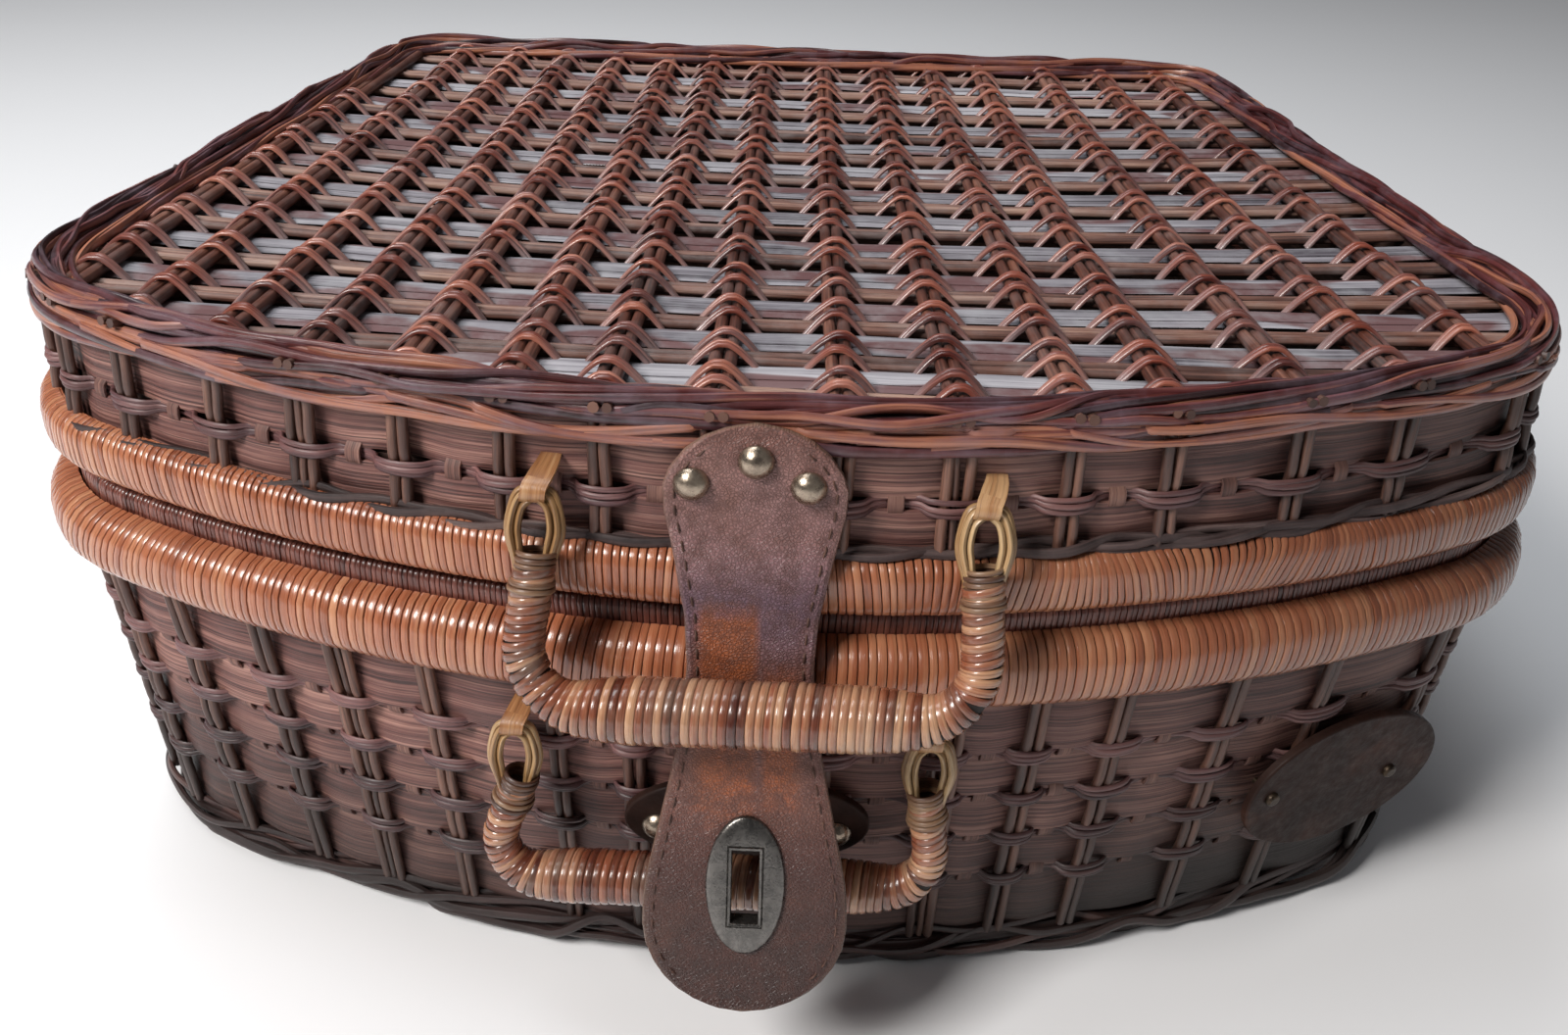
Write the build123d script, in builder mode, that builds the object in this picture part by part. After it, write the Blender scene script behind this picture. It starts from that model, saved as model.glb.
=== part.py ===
from build123d import *
import math
import os

os.makedirs("parts", exist_ok=True)

# ---------------------------------------------------------------- sizes (mm)
# Plan of the hamper: bowed front, straight sides that draw in a little
# towards the back, straight back, four rounded corners. The "seam" plan is
# the outline of the lid's rim; the lid and both bands are offsets of it.
Y_SHIFT = 172.91           # puts y = 0 at the middle of the whole
W_SEAM = 238.0             # half width at Y_WIDE
Y_WIDE = 95.0
SIDE_SLOPE = -0.104        # half width lost per mm towards the back
FRONT_SEAM = -21.0         # y of the front at the middle
BACK_SEAM = 387.0
BOW_R = 450.0              # radius of the bowed front
CORNER_R = 62.0            # front corners
BACK_CORNER_R = 30.0
W_FOOT = 232.0             # the same outline at the foot of the base
FRONT_FOOT = -7.0
BACK_FOOT = 379.0

WALL_T = 5.0               # woven wall without its upright stakes
Z_FLOOR, FLOOR_T = 5.0, 5.0
FOOT_H, FOOT_T = 20.0, 12.0
Z_BASE_WALL_TOP = 126.0
Z_LIP_TOP = 148.0
LIP_OUT, LIP_IN = -4.2, -10.0
BASE_BAND = dict(z0=118.0, z1=142.0, d_out=6.0, d_in=-3.3, edge=7.0)
LID_BAND = dict(z0=149.6, z1=167.6, d_out=3.0, d_in=-3.5, edge=4.5)
Z_LID_LOW, Z_LID_TOP = 148.4, 203.0
D_LID_LOW, D_LID_TOP = -3.6, -6.0
RIM = dict(z0=203.0, z1=216.0, d_out=-1.0, d_in=-12.0, edge=5.0)

STAKE_R = 1.5              # upright stakes of the walls, in pairs
STAKE_X = (-221, -193, -162, -134, -105, -75, -49, -19, 14, 45, 76, 104, 141, 174, 207)
FRONT_STAKES = (-193, -162, -134, -105, -75, -49, -19, 14, 45, 76, 104, 141, 174)
BASE_FRONT_STAKES = (-193, -162, -134, -105, -67, -43, -19, 14, 52, 78, 104, 141, 174)   # the base's stand clear of the lower handle's tabs
CORNER_STAKES = (-50, -29, -8)     # angles round the front corners
SIDE_STAKES = (100, 130, 160, 190, 220, 250, 280, 310, 340)
BACK_STAKES = (-172, -143, -115, -88, -62, -36, -10, 18, 46, 74, 102, 130, 158)
TOP_ROWS = (5, 32, 61, 91, 122, 154, 185, 215, 246, 276, 307, 338, 368)
FAN = 0.1 / 300.0          # how fast the lid's stakes draw together towards the back
FAN_X = -14.0
SLAT_W, SLAT_T, Z_SLAT = 14.4, 1.6, 204.2
SLAT_BACK = 15.2           # a slat lies this far behind each pair of rods
ROD_R, ROD_S, Z_ROD = 1.5, 2.05, 204.25
TOP_STAKE_R, Z_TOP_STAKE = 1.8, 207.65

STRAP_X = -7.5             # middle of the strap and of its lock
STRAP_T = 3.0
BEND = (-29.2, 118.0)      # where the free end of the strap bends
FLAP_TILT = 20.0           # how far the free end stands off the vertical
FLAP_L = 82.0
PLATE_S = 51.0             # eyelet plate, distance below the bend
PLATE_W, PLATE_H = 22.0, 40.0
SLOT_W, SLOT_H = 7.6, 21.0
STUD_D, STUD_H = 9.4, 3.4

LOCK_Z = 75.5
BACKING_Z = 71.5
BACKING_W, BACKING_H, BACKING_T = 73.0, 37.0, 2.5
BAR_L, BAR_W, BAR_T = 17.0, 6.9, 4.0

# handles: middle x, pivot (y, z), middle of the grip (y, z), tab spacing, grip and arm radius
# left and right arms splay outwards by fl, and turn into the grip with radius br
UPPER = dict(x=-6.0, py=-20.5, pz=185.5, gy=-40.0, gz=131.5, half=58.5, rg=8.5, ra=5.8, fl=(4.5, 1.5), br=17.0)
LOWER = dict(x=-15.0, py=-19.0, pz=107.0, gy=-25.5, gz=56.5, half=59.5, rg=8.0, ra=5.4, fl=(10.0, 4.0), br=13.0)
EYE_W, EYE_R = 15.0, 2.1       # width of the eye between its legs' middles, cane radius
EYE_H = 22.0
TAB_W, TAB_T = 6.0, 1.2
TAB_FIT = 0.06

HINGE_Y, HINGE_Z = 399.0, 148.0
HINGE_X = (-112.0, 112.0)
PIN_R, PIN_FIT = 2.5, 0.06
KNUCKLE_R, KNUCKLE_W, KNUCKLE_GAP = 5.5, 13.0, 0.5
LEAF_T, LEAF_W = 3.0, 40.0

# oval badge: flat, touching the bowed front at BADGE_X and standing off the corner beyond it
BADGE_X, BADGE_Z = 170.0, 57.0
BADGE_ANGLE, BADGE_LEAN, BADGE_ROLL = 24.5, 7.0, -5.8
BADGE_OFF = (13.5, 5.0)
BADGE_L, BADGE_H, BADGE_T = 79.0, 56.0, 2.6
BADGE_RIVETS = (-31.0, 20.0)


def yy(y):
    """y of the plan, moved to the frame of the whole"""
    return y - Y_SHIFT


# ---------------------------------------------------------------- plan outline
def outline_points(w, front, back):
    """corner circles and side normal of the outline with half width w"""
    ln = math.hypot(1, SIDE_SLOPE)
    nx, ny = 1 / ln, -SIDE_SLOPE / ln
    cy = front + BOW_R

    def side_u(v):
        return w - (CORNER_R + (v - Y_WIDE) * ny) / nx

    def miss(v):
        return side_u(v) ** 2 + (v - cy) ** 2 - (BOW_R - CORNER_R) ** 2

    a, b = front + 10.0, Y_WIDE + 200.0
    up = miss(a) > 0
    for _ in range(80):
        m = (a + b) / 2
        if (miss(m) > 0) == up:
            a = m
        else:
            b = m
    v1 = (a + b) / 2
    v2 = back - BACK_CORNER_R
    u2 = w - (BACK_CORNER_R + (v2 - Y_WIDE) * ny) / nx
    return nx, ny, cy, side_u(v1), v1, u2, v2


SEAM = dict(w=W_SEAM, front=FRONT_SEAM, back=BACK_SEAM)
FOOT = dict(w=W_FOOT, front=FRONT_FOOT, back=BACK_FOOT)


def outline_sketch(z, d, level):
    """the closed outline of a level, offset outwards by d, as a sketch at height z"""
    nx, ny, cy, u1, v1, u2, v2 = outline_points(**level)
    th0 = math.atan2(v1 - cy, u1)
    thn = math.atan2(ny, nx)

    def at(cx, c_y, r, t):
        return (cx + r * math.cos(t), yy(c_y + r * math.sin(t)))

    def mx(p):
        return (-p[0], p[1])

    p_front = at(0, cy, BOW_R + d, -math.pi / 2)
    p1 = at(0, cy, BOW_R + d, th0)
    p1m = at(u1, v1, CORNER_R + d, (th0 + thn) / 2)
    p2 = at(u1, v1, CORNER_R + d, thn)
    p3 = at(u2, v2, BACK_CORNER_R + d, thn)
    p3m = at(u2, v2, BACK_CORNER_R + d, (thn + math.pi / 2) / 2)
    p4 = at(u2, v2, BACK_CORNER_R + d, math.pi / 2)
    with BuildSketch(Plane.XY.offset(z)) as s:
        with BuildLine() as line:
            ThreePointArc(mx(p1), p_front, p1)
            ThreePointArc(p1, p1m, p2)
            Line(p2, p3)
            ThreePointArc(p3, p3m, p4)
            Line(p4, mx(p4))
            ThreePointArc(mx(p4), mx(p3m), mx(p3))
            Line(mx(p3), mx(p2))
            ThreePointArc(mx(p2), mx(p1m), mx(p1))
        make_face(line.edges())
    return s.sketch


def base_level(z):
    """outline sizes of the base wall's outer face at height z"""
    t = (z - FOOT_H) / (Z_BASE_WALL_TOP - FOOT_H)
    return dict(w=(W_FOOT - 3.0) * (1 - t) + (W_SEAM - 4.0) * t,
                front=(FRONT_FOOT + 3.0) * (1 - t) + (FRONT_SEAM + 4.0) * t,
                back=(BACK_FOOT - 3.0) * (1 - t) + (BACK_SEAM - 4.0) * t)


def lid_d(z):
    """offset of the lid wall's outer face from the seam at height z"""
    t = (z - Z_LID_LOW) / (Z_LID_TOP - Z_LID_LOW)
    return D_LID_LOW * (1 - t) + D_LID_TOP * t


def on_outline(side, v, level, d=0.0):
    """point and outward normal of an outline; v is x on front and back, y on the sides"""
    nx, ny, cy, u1, v1, u2, v2 = outline_points(**level)
    if side == "front":
        th0 = math.atan2(v1 - cy, u1)
        if abs(v) <= BOW_R * math.cos(th0):
            a = -math.acos(v / BOW_R)
            p, n = (v, cy + BOW_R * math.sin(a)), (math.cos(a), math.sin(a))
        else:
            s = 1 if v > 0 else -1
            a = -math.acos(min(1.0, (abs(v) - u1) / CORNER_R))
            n = (s * math.cos(a), math.sin(a))
            p = (s * u1 + CORNER_R * n[0], v1 + CORNER_R * n[1])
    elif side == "back":
        p, n = (v, level["back"]), (0.0, 1.0)
    elif side in ("corner_left", "corner_right"):
        s = 1 if side == "corner_right" else -1
        a = math.radians(v)
        n = (s * math.cos(a), math.sin(a))
        p = (s * u1 + CORNER_R * n[0], v1 + CORNER_R * n[1])
    else:
        s = 1 if side == "right" else -1
        p, n = (s * (level["w"] + SIDE_SLOPE * (v - Y_WIDE)), v), (s * nx, ny)
    return (p[0] + n[0] * d, p[1] + n[1] * d), n


def bow(x):
    """how far the bowed front has fallen back at x"""
    return BOW_R - math.sqrt(BOW_R ** 2 - x ** 2)


def wall_sketches(thick_out, thick_in, z0, z1, level0, level1, d0=0.0, d1=0.0):
    """a tray wall: loft of the outer faces less the loft of the inner faces"""
    loft(sections=[outline_sketch(z0, d0 + thick_out, level0).face(), outline_sketch(z1, d1 + thick_out, level1).face()], ruled=True)
    loft(sections=[outline_sketch(z0, d0 + thick_in, level0).face(), outline_sketch(z1, d1 + thick_in, level1).face()], ruled=True, mode=Mode.SUBTRACT)


def stake_pairs(z0, z1, point, front=FRONT_STAKES):
    """two upright rods side by side at every place on the wall, inside the active part"""
    places = [("front", x) for x in front]
    places += [(side, a) for side in ("corner_left", "corner_right") for a in CORNER_STAKES]
    places += [("left", y) for y in SIDE_STAKES] + [("right", y) for y in SIDE_STAKES]
    places += [("back", x) for x in BACK_STAKES]
    for side, v in places:
        (x0, y0), n = point(side, v, z0)
        (x1, y1), _ = point(side, v, z1)
        out = Vector(n[0], n[1], 0) * (STAKE_R + 0.3)
        p0, p1 = Vector(x0, yy(y0), z0) + out, Vector(x1, yy(y1), z1) + out
        pl = Plane(origin=p0, x_dir=Vector(-n[1], n[0], 0), z_dir=p1 - p0)
        with BuildSketch(pl) as s:
            with Locations((-STAKE_R - 0.1, 0), (STAKE_R + 0.1, 0)):
                Circle(STAKE_R)
        extrude(s.sketch, amount=(p1 - p0).length)


def ring(z0, z1, d_out, d_in, edge, level=SEAM):
    """a closed ring between two offsets of the outline, its outer edges rounded"""
    part = BuildPart._get_context()
    extrude(outline_sketch(z0, d_out, level), amount=z1 - z0)
    if edge > 0:
        fillet(part.edges().filter_by(lambda e: abs(e.center().Z - z0) < 0.01 or abs(e.center().Z - z1) < 0.01), edge)
    extrude(outline_sketch(z0, d_in, level), amount=z1 - z0, mode=Mode.SUBTRACT)


def washer(pl, depth, r_out, r_in, t):
    """a washer whose outer face lies a depth behind the plane"""
    with BuildSketch(pl.offset(-depth - t)) as s:
        Circle(r_out)
        Circle(r_in, mode=Mode.SUBTRACT)
    extrude(s.sketch, amount=t)


def bore(pl, r, depth):
    """a round hole into the active part, from the plane inwards"""
    with BuildSketch(pl.offset(3.0)) as s:
        Circle(r)
    extrude(s.sketch, amount=-(depth + 3.0), mode=Mode.SUBTRACT)


def save(part, name):
    part.label = name
    export_step(part, "parts/" + name + ".step")
    bb = part.bounding_box()
    print(f"{name:24s} solids {len(part.solids()):3d}  x {bb.min.X:8.2f} {bb.max.X:8.2f}  y {bb.min.Y:8.2f} {bb.max.Y:8.2f}  z {bb.min.Z:7.2f} {bb.max.Z:7.2f}")


# ---------------------------------------------------------------- places of the fittings
wall_tilt = math.atan2((FRONT_FOOT + 3.0) - (FRONT_SEAM + 4.0), Z_BASE_WALL_TOP - FOOT_H)
out_dir = Vector(0, -math.cos(wall_tilt), -math.sin(wall_tilt))


def clasp_plane(x, z, stand):
    """a plane on the front of the base wall, z outwards, standing off the wall by stand"""
    y = base_level(z)["front"]
    return Plane(origin=Vector(x, yy(y), z) + out_dir * stand, x_dir=(1, 0, 0), z_dir=out_dir)


STAND = 2 * STAKE_R + 0.6
backing_plane = clasp_plane(STRAP_X, BACKING_Z, STAND)
lock_plane = clasp_plane(STRAP_X, LOCK_Z, STAND + BACKING_T)
backing_studs_at = [clasp_plane(STRAP_X + sx, BACKING_Z - 2.5, STAND + BACKING_T) for sx in (-26.5, 26.5)]
THROUGH = STAND + BACKING_T + WALL_T

head_y = -23.4             # outer face of the strap on the lid wall
strap_studs_at = [Plane(origin=(STRAP_X + sx, yy(head_y), sz), x_dir=(1, 0, 0), z_dir=(0, -1, 0))
                  for sx, sz in ((-16.4, 191.0), (0.0, 198.0), (13.6, 191.0))]


def lid_wall_y(x, z):
    return FRONT_SEAM + bow(x) - lid_d(z)


def base_wall_y(x, z):
    return base_level(z)["front"] + bow(x)


ba, bl = math.radians(BADGE_ANGLE), math.radians(BADGE_LEAN)
badge_dir = Vector(math.sin(ba) * math.cos(bl), -math.cos(ba) * math.cos(bl), -math.sin(bl))
(bx, by), bn = on_outline("front", BADGE_X, base_level(BADGE_Z), STAND + 1.2 + BADGE_T)
badge_touch = Plane(origin=(bx, yy(by), BADGE_Z), x_dir=(math.cos(ba), math.sin(ba), 0), z_dir=badge_dir)
badge_plane = Plane(origin=badge_touch.from_local_coords(Vector(BADGE_OFF[0], BADGE_OFF[1], 0)), x_dir=badge_touch.x_dir * math.cos(math.radians(BADGE_ROLL)) + badge_touch.y_dir * math.sin(math.radians(BADGE_ROLL)), z_dir=badge_dir)
badge_rivets_at = [Plane(origin=badge_plane.from_local_coords(Vector(u, 0, 0)), x_dir=badge_plane.x_dir, z_dir=badge_dir) for u in BADGE_RIVETS]

TAB_R_IN = EYE_R + TAB_FIT
TAB_R = TAB_R_IN + TAB_T


def tab_places(h, wall_y):
    """x of each tab with the y of its outer loop and of the peg behind the wall"""
    out = []
    for s in (-1, 1):
        x = h["x"] + s * h["half"]
        out.append((x, h["py"], wall_y(x, h["pz"]) + WALL_T + EYE_R + 1.6))
    return out


upper_tabs_at = tab_places(UPPER, lid_wall_y)
lower_tabs_at = tab_places(LOWER, base_wall_y)


with BuildPart() as backing_stud:
    Cylinder(STUD_D / 2, STUD_H, align=(Align.CENTER, Align.CENTER, Align.MIN))
    fillet(backing_stud.edges().sort_by(Axis.Z)[-1], STUD_H - 0.7)
    Cylinder(1.5, THROUGH + 3.2, align=(Align.CENTER, Align.CENTER, Align.MAX))
with BuildPart() as strap_stud:
    Cylinder(STUD_D / 2, STUD_H, align=(Align.CENTER, Align.CENTER, Align.MIN))
    fillet(strap_stud.edges().sort_by(Axis.Z)[-1], STUD_H - 0.7)
    Cylinder(1.5, lid_wall_y(STRAP_X, 195) + WALL_T - head_y + 2.6, align=(Align.CENTER, Align.CENTER, Align.MAX))
with BuildPart() as badge_rivet:
    Cylinder(2.5, 1.6, align=(Align.CENTER, Align.CENTER, Align.MIN))
    fillet(badge_rivet.edges().sort_by(Axis.Z)[-1], 1.1)
    Cylinder(1.2, BADGE_T + STAND + WALL_T + 8.0, align=(Align.CENTER, Align.CENTER, Align.MAX))


def tab_slots(h, places):
    """slots through the wall for the tabs of a handle"""
    for x, y0, y1 in places:
        with Locations((x, yy((y0 + y1) / 2), h["pz"])):
            Box(TAB_W + 0.4, y1 - y0 + 30, 2 * TAB_R + 0.4, mode=Mode.SUBTRACT)


def side_sketch(x, pts_fn):
    """a face drawn in the plane across x; its own axes are y and z"""
    with BuildSketch(Plane(origin=(x, 0, 0), x_dir=(0, 1, 0), z_dir=(1, 0, 0))) as s:
        pts_fn()
    return s.sketch


# ================================================================ base tray
with BuildPart() as base_floor:
    extrude(outline_sketch(Z_FLOOR, -FOOT_T - 0.05, FOOT), amount=FLOOR_T)
save(base_floor.part, "base_floor")

with BuildPart() as base_foot_border:
    ring(0.0, FOOT_H, 0.0, -FOOT_T, 4.5, FOOT)
save(base_foot_border.part, "base_foot_border")

with BuildPart() as base_wall:
    wall_sketches(0.0, -WALL_T, FOOT_H, Z_BASE_WALL_TOP, base_level(FOOT_H), base_level(Z_BASE_WALL_TOP))
    for pl in backing_studs_at:
        bore(pl, 1.6, 22.0)
    bore(lock_plane, 2.5, 22.0)
    for pl in badge_rivets_at:
        bore(pl, 1.3, 22.0)
    tab_slots(LOWER, lower_tabs_at)
save(base_wall.part, "base_wall")

with BuildPart() as base_side_stakes:
    stake_pairs(FOOT_H + 1.0, BASE_BAND["z0"] - 1.0, lambda side, v, z: on_outline(side, v, base_level(z)), BASE_FRONT_STAKES)
save(base_side_stakes.part, "base_side_stakes")

with BuildPart() as base_rim_band:
    ring(**BASE_BAND)
save(base_rim_band.part, "base_rim_band")

with BuildPart() as base_lip_ring:
    ring(Z_BASE_WALL_TOP, Z_LIP_TOP, LIP_OUT, LIP_IN, 0)
save(base_lip_ring.part, "base_lip_ring")

# ================================================================ turn lock on the base
with BuildPart() as clasp_backing:
    with BuildSketch(backing_plane) as s:
        Ellipse(BACKING_W / 2, BACKING_H / 2)
    extrude(s.sketch, amount=BACKING_T)
    fillet(clasp_backing.edges().filter_by(lambda e: e.length > 60).sort_by(Axis((0, 0, 0), out_dir))[-1], 0.8)
    for pl in backing_studs_at:
        bore(pl, 1.6, BACKING_T + 2)
    bore(lock_plane, 2.5, BACKING_T + 2)
save(clasp_backing.part, "clasp_backing")

with BuildPart() as clasp_backing_studs:
    with Locations(*backing_studs_at):
        add(backing_stud.part)
save(clasp_backing_studs.part, "clasp_backing_studs")

with BuildPart() as clasp_post:
    with BuildSketch(lock_plane) as s:
        Circle(8.0)
    extrude(s.sketch, amount=1.4)
    fillet(clasp_post.edges().sort_by(Axis((0, 0, 0), out_dir))[-1], 0.5)
    with BuildSketch(lock_plane) as s:
        Circle(2.5)
    extrude(s.sketch, amount=1.4 + 0.4 + BAR_T + 0.3)
    with BuildSketch(lock_plane.offset(1.4 + 0.4 + BAR_T + 0.3)) as s:
        Circle(3.3)
    extrude(s.sketch, amount=1.0)
    with BuildSketch(lock_plane) as s:
        Circle(2.4)
    extrude(s.sketch, amount=-(THROUGH + 2.0))
save(clasp_post.part, "clasp_post")

with BuildPart() as turn_button:
    with BuildSketch(lock_plane.offset(1.4 + 0.4)) as s:
        SlotOverall(BAR_L, BAR_W, rotation=90)
        Circle(2.56, mode=Mode.SUBTRACT)
    extrude(s.sketch, amount=BAR_T)
save(turn_button.part, "turn_button")

with BuildPart() as clasp_washers:
    for pl, x in zip(backing_studs_at, (STRAP_X - 26.5, STRAP_X + 26.5)):
        washer(pl, THROUGH + (bow(x) - bow(0)) + 0.45, 5.0, 1.6, 1.0)
    washer(lock_plane, THROUGH + 0.3, 8.0, 2.5, 1.2)
save(clasp_washers.part, "clasp_washers")

# ================================================================ badge at the corner of the base
with BuildPart() as side_badge:
    with BuildSketch(badge_plane) as s:
        Ellipse(BADGE_L / 2, BADGE_H / 2)
    extrude(s.sketch, amount=-BADGE_T)
    fillet(side_badge.edges().filter_by(lambda e: e.length > 60).sort_by(Axis((0, 0, 0), badge_dir))[-1], 0.8)
    for pl in badge_rivets_at:
        bore(pl, 1.3, 12.0)
save(side_badge.part, "side_badge")

with BuildPart() as side_badge_rivets:
    with Locations(*[pl.offset(0.02) for pl in badge_rivets_at]):
        add(badge_rivet.part)
save(side_badge_rivets.part, "side_badge_rivets")


# ================================================================ handles
def tab_loop(x, y0, y1, z):
    """a flat cane loop: round the eye outside the wall, round the peg inside it"""
    with BuildSketch(Plane(origin=(x - TAB_W / 2, 0, 0), x_dir=(0, 1, 0), z_dir=(1, 0, 0))) as s:
        with Locations((yy((y0 + y1) / 2), z)):
            SlotCenterToCenter(y1 - y0, 2 * TAB_R)
            SlotCenterToCenter(y1 - y0, 2 * TAB_R_IN, mode=Mode.SUBTRACT)
    extrude(s.sketch, amount=TAB_W)


def peg(x, y, z):
    with BuildSketch(Plane(origin=(x - 9, 0, 0), x_dir=(0, 1, 0), z_dir=(1, 0, 0))) as s:
        with Locations((yy(y), z)):
            Circle(EYE_R)
    extrude(s.sketch, amount=18)


def handle_frame(h):
    """plane of a hanging handle: x across, y up along it, origin at the pivot line"""
    up = Vector(0, h["py"] - h["gy"], h["pz"] - h["gz"])
    return Plane(origin=(h["x"], yy(h["py"]), h["pz"]), x_dir=(1, 0, 0), z_dir=Vector(1, 0, 0).cross(up)), up.length


def handle_bar(h):
    """bent bar with a thicker grip; its two ends carry the eyes"""
    pl, drop = handle_frame(h)
    a, bend_r, arm = h["half"], h["br"], drop - EYE_H
    fl, fr = h["fl"]
    over = 3.0
    with BuildLine(pl) as path:
        FilletPolyline((-a + fl * over / arm, -EYE_H + over), (-a - fl, -drop), (a + fr, -drop), (a - fr * over / arm, -EYE_H + over), radius=bend_r)
    with BuildSketch(Plane(origin=path.line @ 0, x_dir=(0, 1, 0), z_dir=path.line % 0)) as s:
        Circle(h["ra"])
    sweep(s.sketch, path=path.line)
    split(bisect_by=Plane(origin=pl.from_local_coords(Vector(0, -EYE_H, 0)), x_dir=(1, 0, 0), z_dir=pl.y_dir), keep=Keep.BOTTOM)
    g0 = a + fl - bend_r * math.tan((math.pi / 2 + math.atan2(fl, arm)) / 2)
    g1 = a + fr - bend_r * math.tan((math.pi / 2 + math.atan2(fr, arm)) / 2)
    with BuildSketch(pl) as s:
        with BuildLine() as line:
            Polyline((-g0, -drop), (-g0, -drop + h["ra"] * 0.98), (-g0 + 7, -drop + h["rg"] * 0.97), (-g0 + 14, -drop + h["rg"]),
                     (g1 - 14, -drop + h["rg"]), (g1 - 7, -drop + h["rg"] * 0.97), (g1, -drop + h["ra"] * 0.98), (g1, -drop), close=True)
        make_face(line.edges())
    centre = pl.from_local_coords(Vector(0, -drop, 0))
    revolve(s.sketch, axis=Axis(centre, (1, 0, 0)))


def handle_eyes(h):
    """two arches of cane, one on each end of the bar, standing on its end faces"""
    pl, drop = handle_frame(h)
    for sgn in (-1, 1):
        c = sgn * h["half"]
        w, r = EYE_W / 2, 4.4
        lean = w - (h["ra"] - EYE_R) + 0.1
        k = r * (1 - math.sqrt(0.5))
        with BuildLine(pl) as path:
            Line((c - w + lean, -EYE_H), (c - w, -EYE_H + 12.0))
            Line((c - w, -EYE_H + 12.0), (c - w, -r))
            ThreePointArc((c - w, -r), (c - w + k, -k), (c - w + r, 0))
            Line((c - w + r, 0), (c + w - r, 0))
            ThreePointArc((c + w - r, 0), (c + w - k, -k), (c + w, -r))
            Line((c + w, -r), (c + w, -EYE_H + 12.0))
            Line((c + w, -EYE_H + 12.0), (c + w - lean, -EYE_H))
        start = path.line @ 0
        with BuildSketch(Plane(origin=start, x_dir=(1, 0, 0), z_dir=path.line % 0)) as s:
            Circle(EYE_R)
        sweep(s.sketch, path=path.line, transition=Transition.ROUND)
    cut = Plane(origin=pl.from_local_coords(Vector(0, -EYE_H + 0.05, 0)), x_dir=(1, 0, 0), z_dir=pl.y_dir)
    split(bisect_by=cut, keep=Keep.TOP)


with BuildPart() as lower_handle_tabs:
    for x, y0, y1 in lower_tabs_at:
        tab_loop(x, y0, y1, LOWER["pz"])
save(lower_handle_tabs.part, "lower_handle_tabs")

with BuildPart() as lower_handle_pegs:
    for x, y0, y1 in lower_tabs_at:
        peg(x, y1, LOWER["pz"])
save(lower_handle_pegs.part, "lower_handle_pegs")

with BuildPart() as lower_handle_grip:
    handle_bar(LOWER)
save(lower_handle_grip.part, "lower_handle_grip")

with BuildPart() as lower_handle_eyes:
    handle_eyes(LOWER)
save(lower_handle_eyes.part, "lower_handle_eyes")

with BuildPart() as upper_handle_tabs:
    for x, y0, y1 in upper_tabs_at:
        tab_loop(x, y0, y1, UPPER["pz"])
save(upper_handle_tabs.part, "upper_handle_tabs")

with BuildPart() as upper_handle_pegs:
    for x, y0, y1 in upper_tabs_at:
        peg(x, y1, UPPER["pz"])
save(upper_handle_pegs.part, "upper_handle_pegs")

with BuildPart() as upper_handle_grip:
    handle_bar(UPPER)
save(upper_handle_grip.part, "upper_handle_grip")

with BuildPart() as upper_handle_eyes:
    handle_eyes(UPPER)
save(upper_handle_eyes.part, "upper_handle_eyes")

# ================================================================ lid tray
with BuildPart() as lid_wall:
    wall_sketches(0.0, -WALL_T, Z_LID_LOW, Z_LID_TOP, SEAM, SEAM, D_LID_LOW, D_LID_TOP)
    for pl in strap_studs_at:
        bore(pl, 1.6, 22.0)
    tab_slots(UPPER, upper_tabs_at)
save(lid_wall.part, "lid_wall")

with BuildPart() as lid_side_stakes:
    stake_pairs(LID_BAND["z1"] + 0.5, Z_LID_TOP - 0.5, lambda side, v, z: on_outline(side, v, SEAM, lid_d(z)))
save(lid_side_stakes.part, "lid_side_stakes")

with BuildPart() as lid_rim_band:
    ring(**LID_BAND)
save(lid_rim_band.part, "lid_rim_band")

with BuildPart() as lid_rim_border:
    ring(**RIM)
save(lid_rim_border.part, "lid_rim_border")

inside_rim = outline_sketch(195.0, RIM["d_in"] - 0.05, SEAM)

with BuildPart() as lid_top_slats:
    for y in TOP_ROWS[:-1]:
        with Locations((0, yy(y + SLAT_BACK), Z_SLAT + SLAT_T / 2)):
            Box(500, SLAT_W, SLAT_T)
    extrude(inside_rim, amount=30, mode=Mode.INTERSECT)
save(lid_top_slats.part, "lid_top_slats")

with BuildPart() as lid_top_rods:
    for y in TOP_ROWS:
        with BuildSketch(Plane(origin=(-250, yy(y), Z_ROD), x_dir=(0, 1, 0), z_dir=(1, 0, 0))) as s:
            with Locations((-ROD_S, 0), (ROD_S, 0)):
                Circle(ROD_R)
        extrude(s.sketch, amount=500)
    extrude(inside_rim, amount=30, mode=Mode.INTERSECT)
save(lid_top_rods.part, "lid_top_rods")

with BuildPart() as lid_top_stakes:
    for x0 in STAKE_X:
        for dx in (-TOP_STAKE_R - 0.15, TOP_STAKE_R + 0.15):
            xa = (x0 - FAN_X) * (1 + FAN * 60) + FAN_X + dx
            xb = (x0 - FAN_X) * (1 - FAN * 420) + FAN_X + dx
            a, b = Vector(xa, yy(-60), Z_TOP_STAKE), Vector(xb, yy(420), Z_TOP_STAKE)
            with BuildSketch(Plane(origin=a, x_dir=(0, 0, 1), z_dir=b - a)) as s:
                Circle(TOP_STAKE_R)
            extrude(s.sketch, amount=(b - a).length)
    extrude(inside_rim, amount=30, mode=Mode.INTERSECT)
save(lid_top_stakes.part, "lid_top_stakes")

# ================================================================ hinges
base_band_back = BACK_SEAM + BASE_BAND["d_out"]
lid_band_back = BACK_SEAM + LID_BAND["d_out"]


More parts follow.
